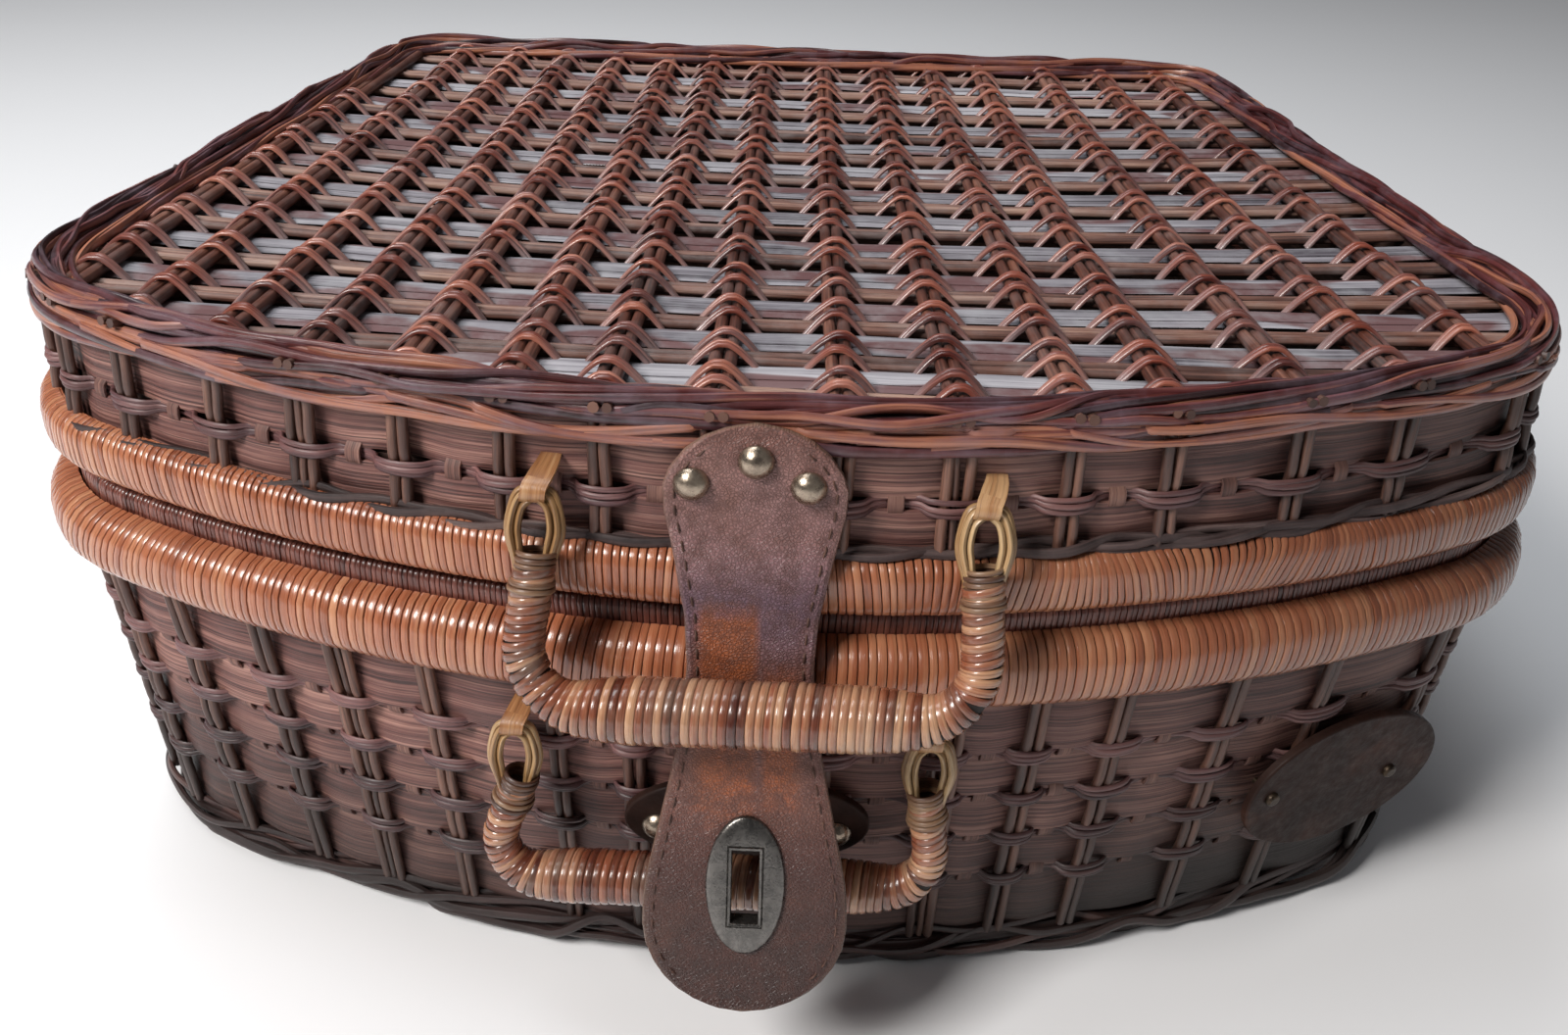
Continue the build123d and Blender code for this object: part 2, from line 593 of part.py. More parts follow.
def knuckle(x0, width, r_hole):
    with BuildSketch(Plane(origin=(x0, 0, 0), x_dir=(0, 1, 0), z_dir=(1, 0, 0))) as s:
        with Locations((yy(HINGE_Y), HINGE_Z)):
            Circle(KNUCKLE_R)
    extrude(s.sketch, amount=width)
    with BuildSketch(Plane(origin=(x0 - 1, 0, 0), x_dir=(0, 1, 0), z_dir=(1, 0, 0))) as s:
        with Locations((yy(HINGE_Y), HINGE_Z)):
            Circle(r_hole)
    extrude(s.sketch, amount=width + 2, mode=Mode.SUBTRACT)


def block(x0, x1, y0, y1, z0, z1):
    with Locations(((x0 + x1) / 2, yy((y0 + y1) / 2), (z0 + z1) / 2)):
        Box(x1 - x0, y1 - y0, z1 - z0)


with BuildPart() as base_hinge_loops:
    for xc in HINGE_X:
        y0 = base_band_back + 0.05
        block(xc - LEAF_W / 2, xc + LEAF_W / 2, y0, y0 + LEAF_T, 120.0, 141.5)
        for side in (-1, 1):
            x0 = xc + KNUCKLE_W / 2 + KNUCKLE_GAP if side > 0 else xc - KNUCKLE_W / 2 - KNUCKLE_GAP - KNUCKLE_W
            block(x0, x0 + KNUCKLE_W, y0, y0 + LEAF_T, 141.0, 148.0)
            knuckle(x0, KNUCKLE_W, PIN_R + 0.01)
save(base_hinge_loops.part, "base_hinge_loops")

with BuildPart() as lid_hinge_loops:
    for xc in HINGE_X:
        y0 = lid_band_back + 0.05
        block(xc - LEAF_W / 2, xc + LEAF_W / 2, y0, y0 + LEAF_T, 150.5, 166.5)
        block(xc - KNUCKLE_W / 2, xc + KNUCKLE_W / 2, y0, y0 + LEAF_T + 2.0, 148.2, 156.0)
        knuckle(xc - KNUCKLE_W / 2, KNUCKLE_W, PIN_R + PIN_FIT)
save(lid_hinge_loops.part, "lid_hinge_loops")

with BuildPart() as hinge_pins:
    for xc in HINGE_X:
        half = 1.5 * KNUCKLE_W + KNUCKLE_GAP
        with BuildSketch(Plane(origin=(xc - half, 0, 0), x_dir=(0, 1, 0), z_dir=(1, 0, 0))) as s:
            with Locations((yy(HINGE_Y), HINGE_Z)):
                Circle(PIN_R)
        extrude(s.sketch, amount=2 * half)
save(hinge_pins.part, "hinge_pins")

# ================================================================ strap
head_line = [(-21.9, 207.0), (-21.9, 180.0), (-26.0, 168.5), (-26.0, 152.0), (BEND[0], 141.0), (BEND[0], BEND[1] + STRAP_T / 2 + 0.35)]
with BuildPart() as strap_head:
    half_t = STRAP_T / 2
    pts_out = [(yy(y - half_t), z) for y, z in head_line]
    pts_in = [(yy(y + half_t), z) for y, z in head_line]
    with BuildSketch(Plane(origin=(STRAP_X - 40, 0, 0), x_dir=(0, 1, 0), z_dir=(1, 0, 0))) as s:
        with BuildLine() as line:
            Polyline(*pts_out, *reversed(pts_in), close=True)
        make_face(line.edges())
    extrude(s.sketch, amount=80)
    with BuildSketch(Plane(origin=(STRAP_X, yy(-80), 0), x_dir=(1, 0, 0), z_dir=(0, -1, 0))) as s:
        with BuildLine() as line:
            Line((19.0, 110), (-19.0, 110))
            Spline((-19.0, 110), (-18.2, 140), (-21.5, 168), (-24.0, 190))
            ThreePointArc((-24.0, 190), (-17.2, 203.2), (0, 208.5))
            ThreePointArc((0, 208.5), (17.2, 203.2), (24.0, 190))
            Spline((24.0, 190), (21.5, 168), (18.2, 140), (19.0, 110))
        make_face(line.edges())
    extrude(s.sketch, amount=-120, mode=Mode.INTERSECT)
    for pl in strap_studs_at:
        bore(pl, 1.6, 8.0)
save(strap_head.part, "strap_head")

with BuildPart() as strap_studs:
    with Locations(*strap_studs_at):
        add(strap_stud.part)
save(strap_studs.part, "strap_studs")

with BuildPart() as strap_washers:
    for pl in strap_studs_at:
        x, z = pl.origin.X, pl.origin.Z
        washer(pl, lid_wall_y(x, z) + WALL_T - head_y + 0.55, 5.0, 1.6, 1.0)
save(strap_washers.part, "strap_washers")

tilt = math.radians(FLAP_TILT)
down = Vector(0, -math.sin(tilt), -math.cos(tilt))
face_out = Vector(0, -math.cos(tilt), math.sin(tilt))
flap_plane = Plane(origin=(STRAP_X, yy(BEND[0]), BEND[1]), x_dir=(1, 0, 0), z_dir=face_out)   # local y is up along the strap
plate_at = flap_plane.from_local_coords(Vector(0, -PLATE_S, 0))

with BuildPart() as strap_flap:
    with BuildSketch(flap_plane.offset(-STRAP_T / 2)) as s:
        with BuildLine() as line:
            Line((-19.0, 0), (19.0, 0))
            Spline((19.0, 0), (20.6, -14), (25.6, -40), (28.4, -58))
            ThreePointArc((28.4, -58), (19.5, -75.5), (0, -FLAP_L))
            ThreePointArc((0, -FLAP_L), (-19.5, -75.5), (-28.4, -58))
            Spline((-28.4, -58), (-25.6, -40), (-20.6, -14), (-19.0, 0))
        make_face(line.edges())
        with Locations((0, -PLATE_S)):
            RectangleRounded(SLOT_W + 2.4, SLOT_H + 2.4, 1.2, mode=Mode.SUBTRACT)
        with Locations((0, -PLATE_S + 16.0), (0, -PLATE_S - 16.0)):
            Circle(1.3, mode=Mode.SUBTRACT)
    extrude(s.sketch, amount=STRAP_T)
    with BuildSketch(Plane(origin=(STRAP_X - 19.0, 0, 0), x_dir=(0, 1, 0), z_dir=(1, 0, 0))) as s:
        with Locations((yy(BEND[0]), BEND[1])):
            Circle(STRAP_T / 2)
    extrude(s.sketch, amount=38.0)
save(strap_flap.part, "strap_flap")

with BuildPart() as eyelet_plate_front:
    with BuildSketch(flap_plane.offset(STRAP_T / 2 + 0.02)) as s:
        with Locations((0, -PLATE_S)):
            Ellipse(PLATE_W / 2, PLATE_H / 2)
    extrude(s.sketch, amount=1.8)
    fillet(eyelet_plate_front.edges().sort_by(Axis((0, 0, 0), face_out))[-1], 1.2)
    with BuildSketch(flap_plane.offset(-STRAP_T)) as s:
        with Locations((0, -PLATE_S)):
            RectangleRounded(SLOT_W, SLOT_H, 0.8)
    extrude(s.sketch, amount=8, mode=Mode.SUBTRACT)
    with BuildSketch(flap_plane.offset(STRAP_T / 2 + 0.3)) as s:
        with Locations((0, -PLATE_S + 16.0), (0, -PLATE_S - 16.0)):
            Circle(1.2)
    extrude(s.sketch, amount=-(STRAP_T + 1.2))
save(eyelet_plate_front.part, "eyelet_plate_front")

with BuildPart() as eyelet_plate_back:
    with BuildSketch(flap_plane.offset(-STRAP_T / 2 - 0.02)) as s:
        with Locations((0, -PLATE_S)):
            Ellipse(PLATE_W / 2 - 1, PLATE_H / 2 - 1)
            RectangleRounded(SLOT_W, SLOT_H, 0.8, mode=Mode.SUBTRACT)
        with Locations((0, -PLATE_S + 16.0), (0, -PLATE_S - 16.0)):
            Circle(1.25, mode=Mode.SUBTRACT)
    extrude(s.sketch, amount=-0.9)
save(eyelet_plate_back.part, "eyelet_plate_back")
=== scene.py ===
import bpy, math, random
import numpy as np
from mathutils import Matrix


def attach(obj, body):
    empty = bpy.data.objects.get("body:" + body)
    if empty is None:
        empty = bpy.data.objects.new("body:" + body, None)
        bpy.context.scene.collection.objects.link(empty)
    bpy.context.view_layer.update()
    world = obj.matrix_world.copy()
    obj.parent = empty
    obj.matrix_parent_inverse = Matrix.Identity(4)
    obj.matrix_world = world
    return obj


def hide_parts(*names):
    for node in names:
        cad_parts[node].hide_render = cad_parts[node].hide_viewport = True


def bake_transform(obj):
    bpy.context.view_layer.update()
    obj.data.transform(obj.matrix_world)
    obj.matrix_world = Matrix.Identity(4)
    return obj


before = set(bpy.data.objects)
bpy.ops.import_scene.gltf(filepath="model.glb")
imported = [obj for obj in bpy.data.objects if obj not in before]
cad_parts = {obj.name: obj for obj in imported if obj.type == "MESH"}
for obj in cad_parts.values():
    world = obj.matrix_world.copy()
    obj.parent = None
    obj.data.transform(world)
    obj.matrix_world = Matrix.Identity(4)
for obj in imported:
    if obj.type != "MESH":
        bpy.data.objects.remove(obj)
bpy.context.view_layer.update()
rng = np.random.default_rng(7)

# ------------------------------------------------------------------ frame and plan (mm)
YS = 172.91
W_SEAM, Y_WIDE, SLOPE = 238.0, 95.0, -0.104
BOW_R, CORNER_R, BACK_R = 450.0, 62.0, 30.0
SEAM = (238.0, -21.0, 387.0)
FOOT = (232.0, -7.0, 379.0)
Z_BASE = (20.0, 126.0)
Z_LID = (148.4, 203.0)
D_LID = (-3.6, -6.0)
FAN, FAN_X = 0.1 / 300.0, -14.0
TOP_ROWS = (5, 32, 61, 91, 122, 154, 185, 215, 246, 276, 307, 338, 368)
STAKE_X = (-221, -193, -162, -134, -105, -75, -49, -19, 14, 45, 76, 104, 141, 174, 207)
FRONT_STAKES = (-193, -162, -134, -105, -75, -49, -19, 14, 45, 76, 104, 141, 174)
CORNER_STAKES = (-50, -29, -8)
SIDE_STAKES = (100, 130, 160, 190, 220, 250, 280, 310, 340)
BACK_STAKES = (-172, -143, -115, -88, -62, -36, -10, 18, 46, 74, 102, 130, 158)


def m(p):
    """plan millimetres to scene metres"""
    p = np.asarray(p, float).copy()
    p[..., 1] -= YS
    return p / 1000.0


class Outline:
    def __init__(self, level):
        w, front, back = level
        ln = math.hypot(1, SLOPE)
        nx, ny = 1 / ln, -SLOPE / ln
        cy = front + BOW_R
        side_u = lambda v: w - (CORNER_R + (v - Y_WIDE) * ny) / nx
        miss = lambda v: side_u(v) ** 2 + (v - cy) ** 2 - (BOW_R - CORNER_R) ** 2
        a, b = front + 10.0, Y_WIDE + 200.0
        up = miss(a) > 0
        for _ in range(80):
            c = (a + b) / 2
            if (miss(c) > 0) == up:
                a = c
            else:
                b = c
        self.v1 = (a + b) / 2
        self.u1 = side_u(self.v1)
        self.v2 = back - BACK_R
        self.u2 = w - (BACK_R + (self.v2 - Y_WIDE) * ny) / nx
        self.cy, self.back = cy, back
        self.th0 = math.atan2(self.v1 - cy, self.u1)
        self.thn = math.atan2(ny, nx)

    def at(self, q):
        """point and outward normal for q in 0..8: front, corner, right, corner, back, corner, left, corner"""
        q = np.mod(np.asarray(q, float), 8.0)
        seg, t = np.floor(q).astype(int), q - np.floor(q)
        P, N = np.zeros(q.shape + (2,)), np.zeros(q.shape + (2,))
        pi, th0, thn = math.pi, self.th0, self.thn

        def arc(k, cx, cyy, r, a0, a1):
            s = seg == k
            a = a0 + (a1 - a0) * t[s]
            N[s] = np.stack([np.cos(a), np.sin(a)], -1)
            P[s] = np.array([cx, cyy]) + r * N[s]

        def line(k, p0, p1, n):
            s = seg == k
            P[s] = np.array(p0) + (np.array(p1) - np.array(p0)) * t[s][:, None]
            N[s] = n
        c, sn = math.cos(thn), math.sin(thn)
        r2 = (self.u1 + CORNER_R * c, self.v1 + CORNER_R * sn)
        r3 = (self.u2 + BACK_R * c, self.v2 + BACK_R * sn)
        arc(0, 0, self.cy, BOW_R, -pi - th0, th0)
        arc(1, self.u1, self.v1, CORNER_R, th0, thn)
        line(2, r2, r3, (c, sn))
        arc(3, self.u2, self.v2, BACK_R, thn, pi / 2)
        line(4, (self.u2, self.back), (-self.u2, self.back), (0, 1))
        arc(5, -self.u2, self.v2, BACK_R, pi / 2, pi - thn)
        line(6, (-r3[0], r3[1]), (-r2[0], r2[1]), (-c, sn))
        arc(7, -self.u1, self.v1, CORNER_R, pi - thn, pi - th0)
        return P, N


O_SEAM, O_FOOT = Outline(SEAM), Outline(FOOT)
O_B0 = Outline((229.0, -4.0, 376.0))
O_B1 = Outline((234.0, -17.0, 383.0))
_q = np.linspace(0, 8, 8001)
_P, _ = O_SEAM.at(_q[:-1])
_P = np.vstack([_P, _P[:1]])
_S = np.concatenate([[0], np.cumsum(np.linalg.norm(np.diff(_P, axis=0), axis=1))])
PERIM = _S[-1]


def q_of_s(s):
    return np.interp(np.mod(s, PERIM), _S, _q)


def s_of_q(q):
    return np.interp(np.mod(q, 8), _q, _S)


def wall_base(q, z, d):
    """3-D points (mm) on the base wall at height z, d outwards, with normals"""
    z = np.broadcast_to(np.asarray(z, float), np.shape(q))
    p0, n0 = O_B0.at(q)
    p1, n1 = O_B1.at(q)
    t = ((z - Z_BASE[0]) / (Z_BASE[1] - Z_BASE[0]))[..., None]
    p = p0 * (1 - t) + p1 * t
    n = n0 * (1 - t) + n1 * t
    n /= np.linalg.norm(n, axis=-1, keepdims=True)
    p = p + n * np.asarray(d, float)[..., None]
    return np.concatenate([p, z[..., None]], -1), np.concatenate([n, np.zeros_like(z)[..., None]], -1)


def wall_lid(q, z, d):
    z = np.broadcast_to(np.asarray(z, float), np.shape(q))
    p, n = O_SEAM.at(q)
    t = (z - Z_LID[0]) / (Z_LID[1] - Z_LID[0])
    dd = D_LID[0] * (1 - t) + D_LID[1] * t + np.asarray(d, float)
    p = p + n * dd[..., None]
    return np.concatenate([p, z[..., None]], -1), np.concatenate([n, np.zeros_like(z)[..., None]], -1)


def ring_at(outline):
    def f(q, z, d):
        z = np.broadcast_to(np.asarray(z, float), np.shape(q))
        p, n = outline.at(q)
        p = p + n * np.asarray(d, float)[..., None]
        return np.concatenate([p, z[..., None]], -1), np.concatenate([n, np.zeros_like(z)[..., None]], -1)
    return f


ring_seam, ring_foot = ring_at(O_SEAM), ring_at(O_FOOT)


def stake_q():
    out = []
    qs = np.linspace(0, 0.9999, 4000)
    xs = O_SEAM.at(qs)[0][:, 0]
    out += [float(np.interp(x, xs, qs)) for x in FRONT_STAKES]
    th0, thn, pi = O_SEAM.th0, O_SEAM.thn, math.pi
    out += [1 + (math.radians(a) - th0) / (thn - th0) for a in CORNER_STAKES]
    out += [7 + (pi - math.radians(a) - (pi - thn)) / (thn - th0) for a in CORNER_STAKES]
    qs = np.linspace(2, 2.9999, 500)
    ys = O_SEAM.at(qs)[0][:, 1]
    for y in SIDE_STAKES:
        t = float(np.interp(y, ys, qs))
        out += [t, 6 + (3 - t)]
    qs = np.linspace(4, 4.9999, 500)
    xs = O_SEAM.at(qs)[0][:, 0]
    out += [float(np.interp(x, xs[::-1], qs[::-1])) for x in BACK_STAKES]
    return np.array(sorted(out))


STAKES = stake_q()
STAKE_S = s_of_q(STAKES)
BASE_STAKE_S = STAKE_S.copy()     # the base's stand clear of the lower handle's tabs
for _x, _d in ((-75, 8.0), (-49, 6.0), (45, 7.0), (76, 2.0)):
    _k = int(np.argmin(np.abs(O_SEAM.at(STAKES)[0][:, 0] - _x) + 1e3 * (O_SEAM.at(STAKES)[0][:, 1] > 40)))
    BASE_STAKE_S[_k] += _d * np.sign(float(O_SEAM.at(STAKES[_k] + 0.001)[0][0]) - float(O_SEAM.at(STAKES[_k])[0][0]))


def stake_s(fn):
    return BASE_STAKE_S if fn is wall_base else STAKE_S



# ------------------------------------------------------------------ mesh collecting
def circle_prof(r, k=8, ax=1.0, ay=1.0):
    a = np.arange(k) * 2 * math.pi / k
    return np.stack([r * ax * np.cos(a), r * ay * np.sin(a)], -1)


def ribbon_prof(w, t, crown=0.0, belly=None):
    """flat strip profile, 8 points, width along the first axis; crown lifts the middle of its outer face"""
    h, b = w / 2, t / 2
    e = min(b * 0.9, h * 0.3)
    return np.array([[h, 0.0], [h - e * 0.5, b], [h * 0.45, b + crown * 0.8], [-h * 0.45, b + crown * 0.8],
                     [-h + e * 0.5, b], [-h, 0.0], [-h + e * 0.5, -b], [h - e * 0.5, -b]])


class Build:
    def __init__(self):
        self.V, self.F, self.U, self.T, self.L = [], [], [], [], []
        self.n = 0

    def sweep(self, path, side, up, prof, tone=0.5, closed=False, caps=True, wear=None):
        """sweeps a closed profile (k,2) or (n,k,2) along a path given in mm"""
        n = len(path)
        prof = np.asarray(prof, float)
        if prof.ndim == 2:
            prof = np.broadcast_to(prof, (n,) + prof.shape)
        k = prof.shape[1]
        P = path[:, None, :] + prof[..., 0:1] * side[:, None, :] + prof[..., 1:2] * up[:, None, :]
        seg = np.linalg.norm(np.diff(path, axis=0), axis=1)
        u = np.concatenate([[0], np.cumsum(seg)])
        per = np.linalg.norm(np.diff(np.concatenate([prof[0], prof[0][:1]]), axis=0), axis=1)
        v = np.concatenate([[0], np.cumsum(per)])
        uo, vo = rng.uniform(0, 5000), rng.uniform(0, 500)
        i = np.arange(n if closed else n - 1)
        j = np.arange(k)
        I, J = np.meshgrid(i, j, indexing="ij")
        I2, J2 = (I + 1) % n, (J + 1) % k
        F = np.stack([I * k + J, I * k + J2, I2 * k + J2, I2 * k + J], -1).reshape(-1, 4)
        if closed:
            u = np.append(u, u[-1] + np.linalg.norm(path[0] - path[-1]))
        uu = u + uo
        vv = v + vo
        U = np.stack([np.stack([uu[I], vv[J]], -1), np.stack([uu[I], vv[J + 1]], -1),
                      np.stack([uu[I + 1], vv[J + 1]], -1), np.stack([uu[I + 1], vv[J]], -1)], -2).reshape(-1, 4, 2)
        fs, us = [F], [U]
        if caps and not closed:
            q = k // 2 - 1
            for base, flip in ((0, True), ((n - 1) * k, False)):
                for c in range(q):
                    f = [base + c, base + c + 1, base + k - 2 - c, base + k - 1 - c]
                    if flip:
                        f = f[::-1]
                    fs.append(np.array([f]))
                    us.append(np.full((1, 4, 2), uo))
        F = np.concatenate(fs) + self.n
        self.V.append(P.reshape(-1, 3)); self.F.append(F); self.U.append(np.concatenate(us))
        self.T.append(np.full(n * k, tone))
        L = np.zeros(n) if wear is None else np.asarray(wear, float)
        self.L.append(np.repeat(L, k))
        self.n += n * k
        return self

    def tube(self, path, r, k=8, tone=0.5, ref=(0, 0, 1), closed=False, caps=True, ax=1.0, ay=1.0, wear=None):
        path = np.asarray(path, float)
        side, up = frames(path, ref, closed)
        r = np.broadcast_to(np.asarray(r, float), (len(path),))
        prof = circle_prof(1.0, k, ax, ay)[None] * r[:, None, None]
        return self.sweep(path, side, up, prof, tone, closed, caps, wear)

    def grid(self, P, tone=0.5, closed_u=False, closed_v=False, uv=None):
        """open sheet of points (n,k,3)"""
        n, k = P.shape[:2]
        i = np.arange(n if closed_u else n - 1)
        j = np.arange(k if closed_v else k - 1)
        I, J = np.meshgrid(i, j, indexing="ij")
        I2, J2 = (I + 1) % n, (J + 1) % k
        F = np.stack([I * k + J, I * k + J2, I2 * k + J2, I2 * k + J], -1).reshape(-1, 4)
        if uv is None:
            du = np.concatenate([[0], np.cumsum(np.linalg.norm(np.diff(P[:, 0], axis=0), axis=1))])
            dv = np.concatenate([[0], np.cumsum(np.linalg.norm(np.diff(P[0], axis=0), axis=1))])
            uv = np.stack(np.meshgrid(du, dv, indexing="ij"), -1)
        g = np.zeros((n + 1, k + 1, 2))
        g[:n, :k] = uv
        g[n, :k] = uv[-1] + (uv[-1] - uv[-2])
        g[:, k] = g[:, k - 1] + (g[:, k - 1] - g[:, k - 2])
        U = np.stack([g[I, J], g[I, J + 1], g[I + 1, J + 1], g[I + 1, J]], -2).reshape(-1, 4, 2)
        self.V.append(P.reshape(-1, 3)); self.F.append(F + self.n); self.U.append(U)
        self.T.append(np.full(n * k, tone)); self.L.append(np.zeros(n * k))
        self.n += n * k
        return self

    def make(self, name, material, body, *nodes, sharp=50):
        V = m(np.concatenate(self.V)); F = np.concatenate(self.F); U = np.concatenate(self.U) / 1000.0
        me = bpy.data.meshes.new(name)
        me.vertices.add(len(V)); me.vertices.foreach_set("co", V.astype(np.float32).ravel())
        me.loops.add(F.size); me.loops.foreach_set("vertex_index", F.astype(np.int32).ravel())
        me.polygons.add(len(F)); me.polygons.foreach_set("loop_start", (np.arange(len(F)) * 4).astype(np.int32))
        me.update(calc_edges=True)
        uvl = me.uv_layers.new(name="UVMap")
        uvl.data.foreach_set("uv", U.astype(np.float32).ravel())
        a = me.attributes.new("tone", "FLOAT", "POINT"); a.data.foreach_set("value", np.concatenate(self.T).astype(np.float32))
        a = me.attributes.new("wear", "FLOAT", "POINT"); a.data.foreach_set("value", np.concatenate(self.L).astype(np.float32))
        me.polygons.foreach_set("use_smooth", np.ones(len(F), bool))
        if sharp:
            me.set_sharp_from_angle(angle=math.radians(sharp))
        me.validate()
        ob = bpy.data.objects.new(name, me)
        bpy.context.scene.collection.objects.link(ob)
        me.materials.append(material)
        if body:
            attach(ob, body)
        if nodes:
            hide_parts(*nodes)
        return ob


def unit(a):
    return a / np.maximum(np.linalg.norm(a, axis=-1, keepdims=True), 1e-9)


def frames(path, ref=(0, 0, 1), closed=False):
    if closed:
        t = unit(np.roll(path, -1, 0) - np.roll(path, 1, 0))
    else:
        t = unit(np.gradient(path, axis=0))
    ref = np.broadcast_to(np.asarray(ref, float), path.shape)
    side = unit(np.cross(ref, t))
    up = unit(np.cross(t, side))
    return side, up


def smooth_noise(n, amp, knots, closed=False):
    """gentle random wander of n samples"""
    k = rng.normal(0, amp, knots)
    x = np.linspace(0, knots if closed else knots - 1, n, endpoint=not closed)
    if closed:
        k = np.append(k, k[:1])
        k = np.append(k, k[1])
    i = np.clip(np.floor(x).astype(int), 0, len(k) - 2)
    f = x - i
    f = f * f * (3 - 2 * f)
    return k[i] * (1 - f) + k[i + 1] * f


# ------------------------------------------------------------------ materials
DARK = 0.66      # one step darker for every stain and metal


def srgb(r, g, b, k=None):
    k = DARK if k is None else k
    f = lambda c: k * ((c / 255 / 12.92) if c / 255 <= 0.04045 else ((c / 255 + 0.055) / 1.055) ** 2.4)
    return (f(r), f(g), f(b), 1.0)


class Mat:
    def __init__(self, name):
        self.m = bpy.data.materials.new(name)
        self.m.use_nodes = True
        self.nt = self.m.node_tree
        self.nt.nodes.clear()
        self.out = self.n("ShaderNodeOutputMaterial")
        self.bsdf = self.n("ShaderNodeBsdfPrincipled")
        self.nt.links.new(self.bsdf.outputs[0], self.out.inputs[0])

    def n(self, kind, **kw):
        x = self.nt.nodes.new(kind)
        for a, b in kw.items():
            setattr(x, a, b)
        return x

    def link(self, a, b):
        self.nt.links.new(a, b)

    def uv(self, sx, sy, ox=0.0):
        u = self.n("ShaderNodeUVMap"); u.uv_map = "UVMap"
        mp = self.n("ShaderNodeMapping")
        mp.inputs["Scale"].default_value = (sx, sy, 1)
        mp.inputs["Location"].default_value = (ox, 0, 0)
        self.link(u.outputs[0], mp.inputs[0])
        return mp.outputs[0]

    def obj(self, s=1.0):
        t = self.n("ShaderNodeTexCoord")
        mp = self.n("ShaderNodeMapping")
        mp.inputs["Scale"].default_value = (s, s, s) if not isinstance(s, tuple) else s
        self.link(t.outputs["Object"], mp.inputs[0])
        return mp.outputs[0]

    def noise(self, vec, scale=1.0, detail=3.0, rough=0.55, dist=0.0):
        x = self.n("ShaderNodeTexNoise")
        x.inputs["Scale"].default_value = scale; x.inputs["Detail"].default_value = detail
        x.inputs["Roughness"].default_value = rough; x.inputs["Distortion"].default_value = dist
        self.link(vec, x.inputs["Vector"])
        return x.outputs["Fac"]

    def attr(self, name):
        x = self.n("ShaderNodeAttribute"); x.attribute_name = name
        return x.outputs["Fac"]

    def math(self, op, a, b=None, clamp=False):
        x = self.n("ShaderNodeMath", operation=op, use_clamp=clamp)
        for i, v in enumerate((a, b)):
            if v is None:
                continue
            if isinstance(v, (int, float)):
                x.inputs[i].default_value = v
            else:
                self.link(v, x.inputs[i])
        return x.outputs[0]

    def ramp(self, fac, stops, interp="LINEAR"):
        x = self.n("ShaderNodeValToRGB")
        cr = x.color_ramp
        cr.interpolation = interp
        while len(cr.elements) < len(stops):
            cr.elements.new(0.5)
        for e, (p, c) in zip(cr.elements, stops):
            e.position = p
            e.color = c if len(c) == 4 else (*c, 1)
        self.link(fac, x.inputs[0])
        return x.outputs[0]

    def mix(self, fac, a, b, blend="MIX"):
        x = self.n("ShaderNodeMix", data_type="RGBA", blend_type=blend)
        for sock, v in ((x.inputs[0], fac), (x.inputs[6], a), (x.inputs[7], b)):
            if isinstance(v, (int, float)):
                sock.default_value = v
            elif isinstance(v, tuple):
                sock.default_value = v
            else:
                self.link(v, sock)
        return x.outputs[2]

    def rng(self, v, lo, hi, a=0.0, b=1.0):
        x = self.n("ShaderNodeMapRange")
        x.inputs[1].default_value, x.inputs[2].default_value = a, b
        x.inputs[3].default_value, x.inputs[4].default_value = lo, hi
        self.link(v, x.inputs[0])
        return x.outputs[0]

    def bump(self, h, dist, strength=1.0, prev=None):
        x = self.n("ShaderNodeBump")
        x.inputs["Strength"].default_value = strength
        x.inputs["Distance"].default_value = dist
        self.link(h, x.inputs["Height"])
        if prev is not None:
            self.link(prev, x.inputs["Normal"])
        return x.outputs[0]

    def set(self, **kw):
        names = dict(color="Base Color", rough="Roughness", normal="Normal", metal="Metallic", spec="Specular IOR Level",
                     coat="Coat Weight", coat_rough="Coat Roughness", sheen="Sheen Weight", sheen_rough="Sheen Roughness", ior="IOR")
        for k, v in kw.items():
            s = self.bsdf.inputs[names[k]]
            if isinstance(v, (int, float, tuple)):
                s.default_value = v
            else:
                self.link(v, s)
        return self.m


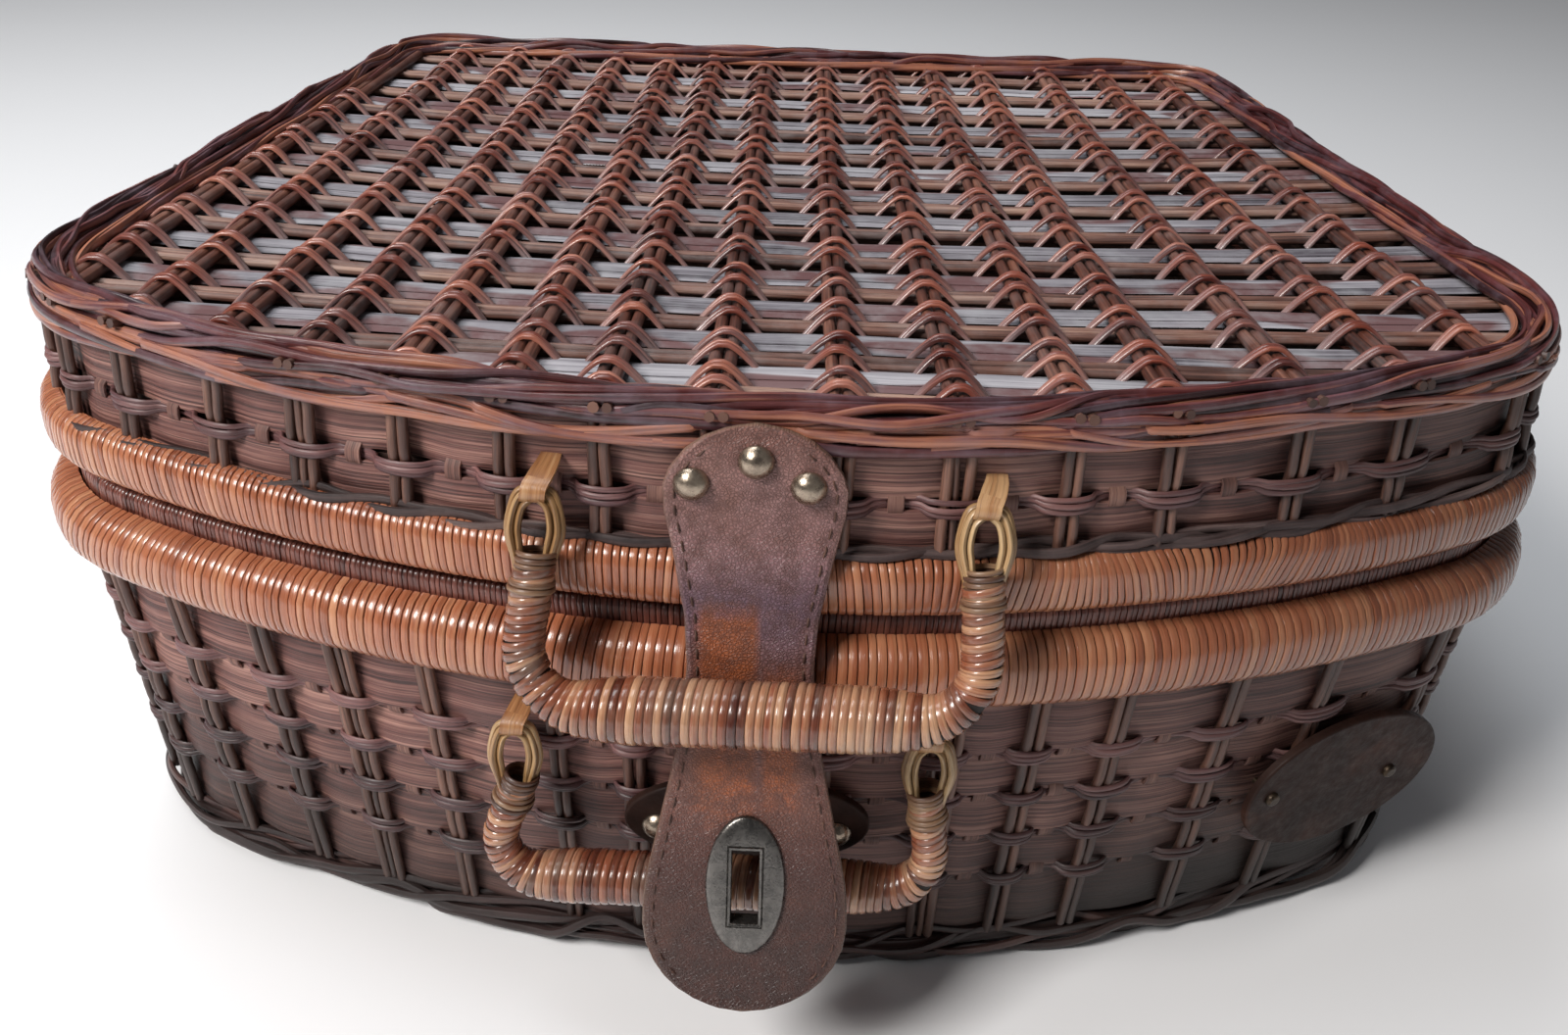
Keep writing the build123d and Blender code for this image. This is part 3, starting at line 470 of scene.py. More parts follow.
def strand(name, dark, mid, light, grain=(60, 900), rough=(0.45, 0.65), coat=0.0, coat_rough=0.3, dust=None, dust_amt=0.0,
           bump=0.00025, fine=0.5, patch=None, spread=0.5, patch_scale=14.0, patch_at=(0.52, 0.60), spec=0.5, cracks=0.0, painted_shade=0.0):
    """cane, willow or splint: streaks along the strand, tone per strand, dust and stains, and painted shade darker
    towards the bottom and the right
    """
    M = Mat(name)
    g1 = M.noise(M.uv(grain[0], grain[1]), 1.0, 4.0, 0.65)
    g2 = M.noise(M.uv(grain[0] * 0.35, grain[1] * 0.22, 3.0), 1.0, 2.0, 0.5)
    big = M.noise(M.obj(7.0), 1.0, 3.0, 0.55)
    mid_n = M.noise(M.obj(34.0), 1.0, 3.0, 0.6)
    t = M.attr("tone")
    v = M.math("MULTIPLY", M.math("SUBTRACT", t, 0.5), spread)
    v = M.math("ADD", v, M.math("MULTIPLY", M.math("SUBTRACT", g1, 0.5), fine * 2.4))
    v = M.math("ADD", v, M.math("MULTIPLY", M.math("SUBTRACT", g2, 0.5), 0.9))
    v = M.math("ADD", v, M.math("MULTIPLY", M.math("SUBTRACT", big, 0.5), 0.7))
    v = M.math("ADD", v, M.math("MULTIPLY", M.math("SUBTRACT", mid_n, 0.5), 0.5))
    v = M.math("ADD", v, 0.5, True)
    col = M.ramp(v, [(0.1, dark), (0.5, mid), (0.9, light)])
    if cracks:
        cn = M.noise(M.uv(grain[0] * 0.7, grain[1] * 1.3, 21.0), 1.0, 2.0, 0.5)
        col = M.mix(M.rng(cn, 0.0, cracks, 0.54, 0.66), col, (dark[0] * 0.45, dark[1] * 0.45, dark[2] * 0.45, 1.0))
    if patch is not None:
        pn = M.noise(M.uv(patch_scale * 2.2, patch_scale * 6.0, 9.0), 1.0, 1.0, 0.4)
        pf = M.rng(pn, 0.0, 0.85, *patch_at)
        col = M.mix(pf, col, patch)
    if dust is not None:
        dn = M.noise(M.obj(60.0), 1.0, 4.0, 0.65)
        df = M.math("MULTIPLY", M.rng(dn, 0.0, 1.0, 0.45, 0.75), dust_amt)
        wear = M.attr("wear")
        df = M.math("ADD", df, wear, True)
        col = M.mix(df, col, dust)
    if painted_shade:
        # painted shade: the colour darkens towards the bottom and towards the right, where the light falls off
        xyz = M.n("ShaderNodeSeparateXYZ")
        M.link(M.obj(1.0), xyz.inputs[0])
        low = M.rng(M.math("ADD", xyz.outputs[2], M.math("MULTIPLY", M.math("SUBTRACT", big, 0.5), 0.05)), 1.0, 0.0, 0.012, 0.085)
        shade_right = M.rng(xyz.outputs[0], 0.0, 1.0, -0.02, 0.24)
        shade_fac = M.math("MULTIPLY", M.math("ADD", M.math("MULTIPLY", low, 0.75), M.math("MULTIPLY", shade_right, 0.72)), painted_shade, True)
        col = M.mix(shade_fac, col, srgb(44, 34, 30))
    h = M.math("ADD", g1, M.math("MULTIPLY", g2, 0.6))
    nrm = M.bump(h, bump, 0.9)
    rr = M.rng(M.math("ADD", M.math("MULTIPLY", g1, 0.6), M.math("MULTIPLY", big, 0.4)), rough[0], rough[1], 0.3, 0.7)
    return M.set(color=col, rough=rr, normal=nrm, coat=coat, coat_rough=coat_rough, spec=spec)


M_SPLINT = strand("splint", srgb(62, 34, 32), srgb(138, 90, 83), srgb(206, 154, 138), grain=(16, 1150), rough=(0.42, 0.66), fine=0.8, spread=0.4, bump=0.0005, dust=srgb(158, 130, 126), dust_amt=0.2, cracks=0.75, painted_shade=0.95)
M_STAKE = strand("stake", srgb(50, 30, 26), srgb(104, 68, 56), srgb(160, 112, 92), grain=(60, 1300), rough=(0.35, 0.6), coat=0.12, spread=0.5, dust=srgb(140, 110, 102), dust_amt=0.2, cracks=0.4, painted_shade=0.8)
M_WEAVER = strand("weaver", srgb(58, 30, 32), srgb(106, 66, 66), srgb(156, 108, 104), grain=(60, 1200), rough=(0.38, 0.6), coat=0.12, coat_rough=0.3, spread=0.6, dust=srgb(130, 106, 116), dust_amt=0.3, cracks=0.4, painted_shade=0.8)
M_GREYWEAVER = strand("grey_weaver", srgb(48, 34, 34), srgb(86, 66, 64), srgb(132, 108, 102), grain=(50, 1300), rough=(0.5, 0.75), spread=0.6, dust=srgb(140, 120, 116), dust_amt=0.3, cracks=0.5)
# inner splints and the floor hoop: a real inner layer, coloured darker than the outer splints as painted shade for what
# shows through the gaps
M_INNER_SHADE = strand("inner_splint", srgb(44, 28, 24), srgb(80, 54, 46), srgb(118, 84, 72), grain=(22, 1300), rough=(0.55, 0.8), fine=0.6, spread=0.5, cracks=0.5)
M_TAG = strand("mid_splint", srgb(82, 50, 44), srgb(134, 92, 82), srgb(176, 130, 114), grain=(30, 1500), rough=(0.5, 0.7), spread=0.35, fine=0.7, cracks=0.5, painted_shade=0.8)
M_BORDER = strand("border", srgb(48, 20, 24), srgb(116, 56, 56), srgb(204, 132, 100), grain=(24, 1100), rough=(0.28, 0.5), coat=0.3, coat_rough=0.22, spread=0.95, fine=0.45, dust=srgb(146, 124, 138), dust_amt=0.5, cracks=0.5)
M_FOOT = strand("foot_border", srgb(40, 24, 24), srgb(86, 56, 54), srgb(134, 94, 86), grain=(30, 900), rough=(0.4, 0.65), coat=0.08, spread=0.7, dust=srgb(118, 98, 98), dust_amt=0.3, cracks=0.5, painted_shade=0.6)
M_BAND = strand("wrapped_band", srgb(128, 66, 44), srgb(196, 118, 82), srgb(228, 160, 118), grain=(40, 900), rough=(0.2, 0.38), coat=0.55, coat_rough=0.16, spread=0.35, fine=0.3, bump=0.0003, cracks=0.3, painted_shade=0.8)
M_LIP = strand("wrapped_lip", srgb(62, 30, 26), srgb(122, 66, 54), srgb(172, 106, 88), grain=(60, 900), rough=(0.25, 0.42), coat=0.4, coat_rough=0.18, spread=0.35, bump=0.00018)
# near-black cores under the band, lip and handle wraps: painted shade that shows in the gaps between the cane turns
M_CORE_SHADE = strand("hoop_core_painted_shade", srgb(20, 12, 10), srgb(34, 22, 18), srgb(52, 34, 28), grain=(60, 900), rough=(0.6, 0.8), spread=0.4, bump=0.0002)
M_SLAT = strand("top_slat", srgb(94, 88, 96), srgb(162, 157, 165), srgb(214, 210, 216), grain=(14, 800), rough=(0.5, 0.75), fine=0.6, spread=0.45, patch=srgb(112, 62, 60), patch_scale=8.0, patch_at=(0.52, 0.56), dust=srgb(204, 206, 210), dust_amt=0.4, cracks=0.4)
M_ROD = strand("top_rod", srgb(68, 40, 34), srgb(134, 90, 76), srgb(190, 152, 134), grain=(30, 1200), rough=(0.45, 0.7), spread=0.6, dust=srgb(172, 162, 160), dust_amt=0.38, cracks=0.5)
M_TOPSTAKE = strand("top_stake", srgb(52, 26, 21), srgb(108, 60, 46), srgb(160, 106, 84), grain=(30, 1200), rough=(0.35, 0.6), coat=0.15, spread=0.5, dust=srgb(164, 152, 150), dust_amt=0.32, cracks=0.4)
M_ARC = strand("binding", srgb(86, 32, 25), srgb(154, 78, 60), srgb(204, 130, 106), grain=(40, 1100), rough=(0.22, 0.42), coat=0.4, coat_rough=0.18, spread=0.7, dust=srgb(178, 160, 160), dust_amt=0.28, cracks=0.3)
M_STRAW = strand("pale_cane", srgb(112, 74, 44), srgb(182, 138, 90), srgb(226, 190, 142), grain=(40, 1000), rough=(0.28, 0.48), coat=0.3, coat_rough=0.2, spread=0.7, cracks=0.5)
M_TAB = strand("tab_cane", srgb(142, 88, 52), srgb(198, 142, 94), srgb(228, 182, 134), grain=(40, 1000), rough=(0.28, 0.48), coat=0.3, coat_rough=0.2, spread=0.6, cracks=0.4)
M_GRIP = strand("handle_wrap", srgb(92, 44, 32), srgb(164, 94, 66), srgb(222, 168, 128), grain=(50, 900), rough=(0.18, 0.34), coat=0.6, coat_rough=0.12, spread=0.75, fine=0.35, dust=srgb(196, 172, 150), dust_amt=0.4, cracks=0.4)
M_WHIP = strand("whipping", srgb(76, 48, 38), srgb(124, 88, 66), srgb(166, 130, 98), grain=(50, 900), rough=(0.3, 0.5), coat=0.3, spread=0.7)
M_FLOORWEAVE = strand("floor_weave", srgb(46, 30, 26), srgb(86, 58, 50), srgb(124, 90, 76), grain=(22, 1300), rough=(0.55, 0.8), fine=0.6, spread=0.5, cracks=0.6)


def leather():
    M = Mat("leather")
    uv = M.uv(1.0, 1.0)
    xyz = M.n("ShaderNodeSeparateXYZ"); M.link(uv, xyz.inputs[0])
    s_, x_ = xyz.outputs[0], xyz.outputs[1]
    big = M.noise(M.uv(45.0, 45.0, 2.0), 1.0, 4.0, 0.6, 0.5)
    mid = M.noise(M.uv(170.0, 170.0, 5.0), 1.0, 4.0, 0.65, 0.3)
    fine = M.noise(M.uv(1400.0, 1400.0, 5.0), 1.0, 3.0, 0.6)
    v = M.n("ShaderNodeTexVoronoi"); v.feature = "DISTANCE_TO_EDGE"; v.inputs["Scale"].default_value = 1.0
    M.link(M.uv(1100.0, 1100.0, 1.0), v.inputs["Vector"])
    pores = M.rng(v.outputs["Distance"], 0.0, 1.0, 0.0, 0.22)
    # along the strap: rosy brown, bluish band, ochre stain, dark worn end
    sw = M.math("ADD", s_, M.math("MULTIPLY", M.math("SUBTRACT", big, 0.5), 0.030))
    base = M.ramp(M.math("MULTIPLY", sw, 5.7, True), [(0.0, srgb(134, 90, 80, 1.0)), (0.10, srgb(150, 112, 108, 1.0)), (0.20, srgb(140, 102, 102, 1.0)), (0.29, srgb(104, 80, 96, 1.0)),
                                                     (0.40, srgb(122, 88, 90, 1.0)), (0.50, srgb(132, 90, 84, 1.0)), (0.62, srgb(122, 80, 70, 1.0)), (0.72, srgb(78, 46, 40, 1.0)), (0.86, srgb(58, 36, 31, 1.0)), (1.0, srgb(54, 33, 29, 1.0))])
    lobe_l = M.math("MULTIPLY", M.rng(M.math("ADD", s_, M.math("MULTIPLY", M.math("SUBTRACT", mid, 0.5), 0.012)), 0.0, 1.0, 0.050, 0.056), M.rng(x_, 1.0, 0.0, 0.0005, 0.003))
    lobe_r = M.math("MULTIPLY", M.rng(M.math("ADD", s_, M.math("MULTIPLY", M.math("SUBTRACT", mid, 0.5), 0.014)), 0.0, 1.0, 0.068, 0.074), M.rng(x_, 0.0, 1.0, 0.0025, 0.005))
    edge_in = M.math("MULTIPLY", M.rng(x_, 0.0, 1.0, -0.0165, -0.0125), M.rng(x_, 1.0, 0.0, 0.0115, 0.0155))
    down = M.rng(M.math("ADD", s_, M.math("MULTIPLY", M.math("SUBTRACT", mid, 0.5), 0.03)), 1.0, 0.0, 0.104, 0.118)
    lobes = M.math("MULTIPLY", M.math("MULTIPLY", M.math("MAXIMUM", lobe_l, lobe_r), edge_in), down)
    col = M.mix(M.math("MULTIPLY", lobes, 0.95), base, srgb(158, 86, 48, 1.0))
    col = M.mix(M.rng(mid, 0.0, 0.55, 0.42, 0.62), col, srgb(88, 52, 44, 0.9), "MIX")
    col = M.mix(M.math("MULTIPLY", M.rng(big, 0.0, 0.35, 0.5, 0.68), M.rng(s_, 1.0, 0.35, 0.115, 0.135)), col, srgb(134, 90, 72, 1.0))
    col = M.mix(M.math("MULTIPLY", M.math("SUBTRACT", 1.0, pores), 0.5), col, srgb(66, 38, 32))
    fade = M.attr("wear")
    col = M.mix(fade, col, srgb(146, 118, 100))
    h = M.math("ADD", M.math("MULTIPLY", pores, 0.5), M.math("ADD", M.math("MULTIPLY", mid, 0.6), M.math("MULTIPLY", fine, 0.3)))
    nrm = M.bump(h, 0.00035, 0.8)
    return M.set(color=col, rough=M.rng(M.math("ADD", M.math("MULTIPLY", mid, 0.6), M.math("MULTIPLY", big, 0.4)), 0.36, 0.6, 0.35, 0.65), normal=nrm, coat=0.08, coat_rough=0.35)


def wood_obj(name, dark, light, scale=(40.0, 900.0, 900.0), rough=(0.4, 0.65)):
    """wood or cane on pieces without their own strand coordinates"""
    M = Mat(name)
    g = M.noise(M.obj(scale), 1.0, 4.0, 0.65)
    b = M.noise(M.obj(60.0), 1.0, 3.0, 0.6)
    col = M.ramp(M.math("ADD", M.math("MULTIPLY", g, 0.65), M.math("MULTIPLY", b, 0.35)), [(0.36, dark), (0.62, light)])
    return M.set(color=col, rough=M.rng(b, rough[0], rough[1], 0.3, 0.7), normal=M.bump(g, 0.0003, 0.8), coat=0.15, coat_rough=0.25)


def leather_dark():
    M = Mat("leather_dark")
    big = M.noise(M.obj(50.0), 1.0, 4.0, 0.6, 0.4)
    mid = M.noise(M.obj(300.0), 1.0, 4.0, 0.6)
    col = M.ramp(big, [(0.3, srgb(34, 20, 16)), (0.55, srgb(54, 33, 26)), (0.75, srgb(80, 52, 42))])
    return M.set(color=col, rough=M.rng(mid, 0.45, 0.7, 0.3, 0.7), normal=M.bump(mid, 0.0004, 0.7), coat=0.02, coat_rough=0.4, spec=0.15)


def metal(name, dark, light, rough):
    M = Mat(name)
    big = M.noise(M.obj(240.0), 1.0, 5.0, 0.65, 0.5)
    fine = M.noise(M.obj(1400.0), 1.0, 3.0, 0.6)
    col = M.ramp(M.math("ADD", M.math("MULTIPLY", big, 0.75), M.math("MULTIPLY", fine, 0.25)), [(0.32, dark), (0.62, light)])
    return M.set(color=col, metal=0.92, rough=M.rng(big, rough[0], rough[1], 0.3, 0.7), normal=M.bump(fine, 0.00015, 0.5))


M_LEATHER, M_LEATHER_DARK = leather(), leather_dark()
M_STUD = metal("stud_brass", srgb(124, 110, 98, 1.0), srgb(178, 162, 144, 1.0), (0.22, 0.34))
M_PLATE = metal("aged_plate", srgb(80, 78, 76, 1.0), srgb(122, 118, 114, 1.0), (0.2, 0.34))
M_RIVET = metal("rivet", srgb(40, 34, 30), srgb(104, 88, 72), (0.35, 0.55))
M_PEG = wood_obj("peg_wood", srgb(74, 50, 40), srgb(136, 102, 82))
M_HINGECANE = wood_obj("hinge_cane", srgb(112, 66, 42, 0.8), srgb(196, 132, 88, 0.8), (900.0, 60.0, 60.0))
M_THREAD = strand("thread", srgb(56, 34, 28), srgb(92, 60, 48), srgb(128, 90, 74), grain=(900, 900), rough=(0.6, 0.8), spread=0.4)

# ------------------------------------------------------------------ walls
def bay_path(fn, z, d_stake, d_mid, sharp=1.0, per=14, wander_z=0.0, wander_d=0.0, z_mid=0.0, shift=0.0):
    """a closed strand round a wall: d_stake at the stakes, d_mid half way between them"""
    s0 = stake_s(fn)
    s1 = np.append(s0[1:], s0[0] + PERIM)
    f = np.arange(per) / per
    S = (s0[:, None] + (s1 - s0)[:, None] * f[None]).ravel()
    F = np.tile(f, len(s0))
    c = np.cos(2 * math.pi * (F - shift))
    w = 0.5 + 0.5 * np.sign(c) * np.abs(c) ** sharp
    d = d_mid + (d_stake - d_mid) * w
    n = len(S)
    zz = z + z_mid * (1 - w)
    if wander_z:
        zz = zz + smooth_noise(n, wander_z, 70, True)
    if wander_d:
        d = d + smooth_noise(n, wander_d, 90, True)
    P, N = fn(q_of_s(S), zz, d)
    return P, N


def wall_frame(N, P):
    t = unit(np.roll(P, -1, 0) - np.roll(P, 1, 0))
    up = unit(N - (N * t).sum(-1, keepdims=True) * t)
    side = np.cross(t, up)
    return side, up


def splint(B, fn, z0, z1, tone):
    P, N = bay_path(fn, (z0 + z1) / 2, -2.1, -1.0, 0.9, 8, 0.3, 0.3)
    side, up = wall_frame(N, P)
    Pa, _ = bay_path(fn, z1, -2.6, -0.7, 0.8, 8)
    w = z1 - z0
    prof = ribbon_prof(w, 1.3, 0.25)
    side = np.broadcast_to(np.array([0, 0, 1.0]), P.shape)
    B.sweep(P, side, up, prof, tone, closed=True)


def stakes(B, fn, z0, z1, rows, d=1.6):
    for i, q in enumerate(STAKES):
        cnt = 3 if (i * 7) % 6 == 2 else 2
        offs = {2: (-1.7, 1.7), 3: (-3.0, 0.1, 3.1)}[cnt]
        for j, o in enumerate(offs):
            n = 26
            z = np.linspace(z0, z1, n)
            lean = rng.normal(0, 0.5)
            ds = o + lean * (z - z0) / (z1 - z0) + smooth_noise(n, 0.18, 5)
            s = stake_s(fn)[i] + ds
            dd = np.full(n, d) + rng.normal(0, 0.15)
            for r in rows:
                dd = dd - 0.9 * np.exp(-((z - r) / 3.2) ** 2)
            P, N = fn(q_of_s(s), z, dd)
            r = (1.55 if cnt == 2 else (1.5, 1.1, 1.5)[j]) * rng.uniform(0.92, 1.08)
            B.tube(P, r, 8, rng.uniform(0.2, 0.9), ref=N[n // 2])


def weavers(B, fn, z, count=3, r=0.86, out=3.2, inn=-2.3):
    for c in range(count):
        k = c - (count - 1) / 2
        dz = k * (2 * r * 1.0)
        P, N = bay_path(fn, z + dz, out - 0.35 * abs(k), inn, 0.5, 18, 0.32, 0.15, z_mid=-0.55 * k, shift=rng.uniform(-0.02, 0.02))
        side, up = wall_frame(N, P)
        B.sweep(P, side, up, circle_prof(r * rng.uniform(0.93, 1.07), 8, 1.1, 0.85), rng.uniform(0.15, 0.9), closed=True)


def mid_splints(B, fn, rows, z0, z1, width=4.6):
    s0 = stake_s(fn)
    s1 = np.append(s0[1:], s0[0] + PERIM)
    for i in range(len(STAKES)):
        s = (s0[i] + s1[i]) / 2 + rng.normal(0, 0.5)
        n = int((z1 - z0) / 1.6)
        z = np.linspace(z0, z1, n)
        d = np.full(n, -3.6)
        for r in rows:
            d = d + 3.6 * np.exp(-((z - r) / 3.6) ** 4)
        P, N = fn(q_of_s(np.full(n, s)), z, d)
        t = unit(np.gradient(P, axis=0))
        side = unit(np.cross(t, N)); up = np.cross(side, t)
        B.sweep(P, side, up, ribbon_prof(width * rng.uniform(0.9, 1.1), 0.9, 0.1), rng.uniform(0.2, 0.9))


BASE_ROWS = (39.0, 58.0, 76.0, 94.0)
B = Build()
zs = [13.5] + list(BASE_ROWS) + [118.0]
for a, b in zip(zs[:-1], zs[1:]):
    splint(B, wall_base, a + 0.9, b - 0.9, rng.uniform(0.3, 0.7))
B.make("base_splints", M_SPLINT, "base", "base_wall")


def inner_splints(B, fn, edges):
    """the wall's inner face: plain overlapping splints behind the outer ones, in a darker material that paints the
    shade seen through the gaps
    """
    for a, b in zip(edges[:-1], edges[1:]):
        P, N = bay_path(fn, (a + b) / 2, -4.5, -4.1, 0.9, 8, 0.2, 0.0)
        side = np.broadcast_to(np.array([0, 0, 1.0]), P.shape)
        side_, up = wall_frame(N, P)
        B.sweep(P, side, up, ribbon_prof(b - a + 0.6, 0.8, 0.15), rng.uniform(0.2, 0.6), closed=True)


B = Build(); inner_splints(B, wall_base, (11, 20, 29, 39, 48.5, 58, 67, 76, 85, 94, 106, 118, 128.5)); B.make("base_inner_splints", M_INNER_SHADE, "base")
B = Build(); inner_splints(B, wall_lid, (149.2, 157, 165, 173.5, 182, 193, 205.5)); B.make("lid_inner_splints", M_INNER_SHADE, "lid")
B = Build(); stakes(B, wall_base, 12.5, 121.0, BASE_ROWS); B.make("base_stake_rods", M_STAKE, "base", "base_side_stakes")
B = Build()
for z in BASE_ROWS:
    weavers(B, wall_base, z)
B.make("base_weavers", M_WEAVER, "base")
# a flat hoop under the edge of the floor carries the ends of its splints
B = Build()
S = np.linspace(0, PERIM, 500, endpoint=False)
P, N = ring_foot(q_of_s(S), np.full(500, 5.6), np.full(500, -9.6))
side, up = N, np.broadcast_to(np.array([0, 0, 1.0]), P.shape)
B.sweep(P, side, up, ribbon_prof(9.0, 1.2, 0.2), 0.4, closed=True)
B.make("floor_hoop", M_INNER_SHADE, "base")
B = Build(); mid_splints(B, wall_base, BASE_ROWS, 20, 116); B.make("base_mid_splints", M_TAG, "base")

B = Build()
splint(B, wall_lid, 165.5, 180.6, 0.5); splint(B, wall_lid, 183.2, 203.5, 0.6)
B.make("lid_splints", M_SPLINT, "lid", "lid_wall")
B = Build(); stakes(B, wall_lid, 165.0, 205.5, (182.0,)); B.make("lid_stake_rods", M_STAKE, "lid", "lid_side_stakes")
B = Build(); weavers(B, wall_lid, 182.0); B.make("lid_weavers", M_WEAVER, "lid")
B = Build(); mid_splints(B, wall_lid, (182.0,), 168, 201); B.make("lid_mid_splints", M_TAG, "lid")
B = Build()
for c in range(4):
    P, N = bay_path(wall_lid, 168.8 + rng.uniform(-0.5, 0.8), 3.0, 1.2, 1.0, 10, 0.7, 0.5, shift=0.25 * c)
    n = len(P)
    ph = np.linspace(0, 2 * math.pi * 17, n, endpoint=False) + c * math.pi / 2
    P = P + N * (1.1 * np.cos(ph))[:, None] + np.array([0, 0, 1.0]) * (1.3 * np.sin(ph))[:, None]
    side, up = wall_frame(N, P)
    B.sweep(P, side, up, circle_prof(1.15 * rng.uniform(0.85, 1.15), 7, 1.25, 0.8), rng.uniform(0.1, 0.9), closed=True)
B.make("lid_bottom_weaver", M_GREYWEAVER, "lid")


# ------------------------------------------------------------------ wrapped bands
def lid_rise(q):
    """the lid's rim has warped up a little towards the front left"""
    p, _ = O_SEAM.at(q)
    return 4.6 * np.clip((30.0 - p[..., 0]) / 265.0, 0, 1) * np.clip((370.0 - p[..., 1]) / 330.0, 0, 1)


def wrapped(B, fn, z0, z1, d_out, d_in, edge, pitch, crown, slant=0.0, slant_var=0.0, k_face=5, jitter=0.12, rise=None, core=None):
    """cane turns round a hoop: each turn is one crowned ribbon over the hoop's outside"""
    turns = int(PERIM / pitch)
    zc, h, w = (z0 + z1) / 2, (z1 - z0) / 2, d_out - d_in
    e = min(edge, h * 0.98)
    a = np.linspace(-math.pi / 2, 0, k_face)
    low = np.stack([d_out - e + e * np.cos(a), z0 + e + e * np.sin(a)], -1)
    high = low[::-1] * [1, -1] + [0, z0 + z1]
    prof = np.vstack([[[d_in, z0 + 0.4]], low, high, [[d_in, z1 - 0.4]]])
    zz, dd = prof[:, 1], prof[:, 0]
    tt = (zz - zc) / h
    pos = (np.arange(turns) + rng.uniform(-jitter, jitter, turns)) * PERIM / turns
    nxt = np.append(pos[1:], pos[0] + PERIM)
    bend = smooth_noise(turns, slant_var, 40, True)
    # the hoop under the turns is drawn in the near-black core material, as painted shade in the grooves
    if core is not None:
        Q = np.linspace(0, PERIM, 700, endpoint=False)
        inner = prof - np.array([0.75, 0.0]) * (dd[:, None] > d_in + 0.1)
        inner[:, 1] = zc + (zz - zc) * (1 - 0.6 / h)
        R = []
        for d_, z_ in inner:
            zq = z_ + (rise(q_of_s(Q)) if rise is not None else 0.0)
            R.append(fn(q_of_s(Q), zq + 0 * Q, np.full(len(Q), d_))[0])
        core.grid(np.stack(R, 1), closed_u=True, closed_v=True)
    for i in range(turns):
        wd = (nxt[i] - pos[i]) * 0.955
        s = (pos[i] + nxt[i]) / 2 + (slant + bend[i]) * tt + 0.25 * bend[i] * tt ** 2
        lift = rng.uniform(-0.14, 0.14)
        up_z = rise(q_of_s(s)) if rise is not None else 0.0
        P, N = fn(q_of_s(s), zz + up_z, dd + lift)
        t = unit(np.gradient(P, axis=0))
        tan = unit(np.cross(np.array([0, 0, 1.0]), N))
        up = unit(np.cross(tan, t)) * np.where((np.cross(tan, t) * N).sum(-1) + 1e-9 >= 0, 1, 1)[:, None]
        out = np.stack([N[:, 0] * 0, N[:, 1] * 0, tt], -1) + N * 1.2
        up = up * np.sign((up * out).sum(-1) + 1e-9)[:, None]
        h2 = wd / 2
        pr = np.array([[h2, -0.42], [h2 * 0.86, crown * 0.3], [h2 * 0.5, crown], [-h2 * 0.5, crown], [-h2 * 0.86, crown * 0.3], [-h2, -0.42], [-h2 * 0.7, -0.6], [h2 * 0.7, -0.6]])
        B.sweep(P, tan, up, pr, 0.5 + (rng.uniform(0.1, 0.95) - 0.5) * 0.75, caps=False)


B, C = Build(), Build()
wrapped(B, ring_seam, 118.6, 141.6, 5.9, -3.2, 9.4, 2.75, 0.2, 0.5, 1.3, core=C)
B.make("base_band_wrap", M_BAND, "base", "base_rim_band"); C.make("base_band_hoop", M_CORE_SHADE, "base")
B, C = Build(), Build()
wrapped(B, ring_seam, 149.7, 167.5, 2.9, -3.4, 6.0, 2.3, 0.18, 0.4, 1.2, rise=lid_rise, core=C)
B.make("lid_band_wrap", M_BAND, "lid", "lid_rim_band"); C.make("lid_band_hoop", M_CORE_SHADE, "lid")
B, C = Build(), Build()
wrapped(B, ring_seam, 126.3, 147.8, -4.4, -9.8, 2.6, 1.7, 0.16, 0.0, 0.5, 3, core=C)
B.make("base_lip_wrap", M_LIP, "base", "base_lip_ring"); C.make("base_lip_hoop", M_CORE_SHADE, "base")


# ------------------------------------------------------------------ twisted borders
def twisted(B, fn, zc, dc, strands, spread, radii, twist, knots=90, ax=1.15, per=900, tones=(0.05, 0.98), zs=1.0):
    S = np.linspace(0, PERIM, per, endpoint=False)
    for c in range(strands):
        turns = round(PERIM / twist)
        ph = 2 * math.pi * (turns * S / PERIM + c / strands) + smooth_noise(per, 0.5, knots, True)
        rad = spread * (1 + smooth_noise(per, 0.16, knots, True)) * (1.0 if c % 4 else 0.55)
        d = dc + rad * np.cos(ph) + smooth_noise(per, 0.25, knots, True)
        z = zc + zs * rad * np.sin(ph) + smooth_noise(per, 0.25, knots, True)
        P, N = fn(q_of_s(S), z, d)
        side, up = wall_frame(N, P)
        r = radii * rng.uniform(0.72, 1.2) * (1 + smooth_noise(per, 0.08, knots, True))
        prof = circle_prof(1.0, 7, ax, 0.9)[None] * r[:, None, None]
        B.sweep(P, side, up, prof, rng.uniform(*tones), closed=True)


B = Build()
twisted(B, ring_seam, 208.3, -6.6, 13, 4.4, 1.25, 410, 52, ax=1.2, per=1300, tones=(0.02, 0.85), zs=0.82)
twisted(B, ring_seam, 208.0, -7.0, 5, 2.4, 1.5, 620, 40, per=900, tones=(0.02, 0.5), zs=0.8)
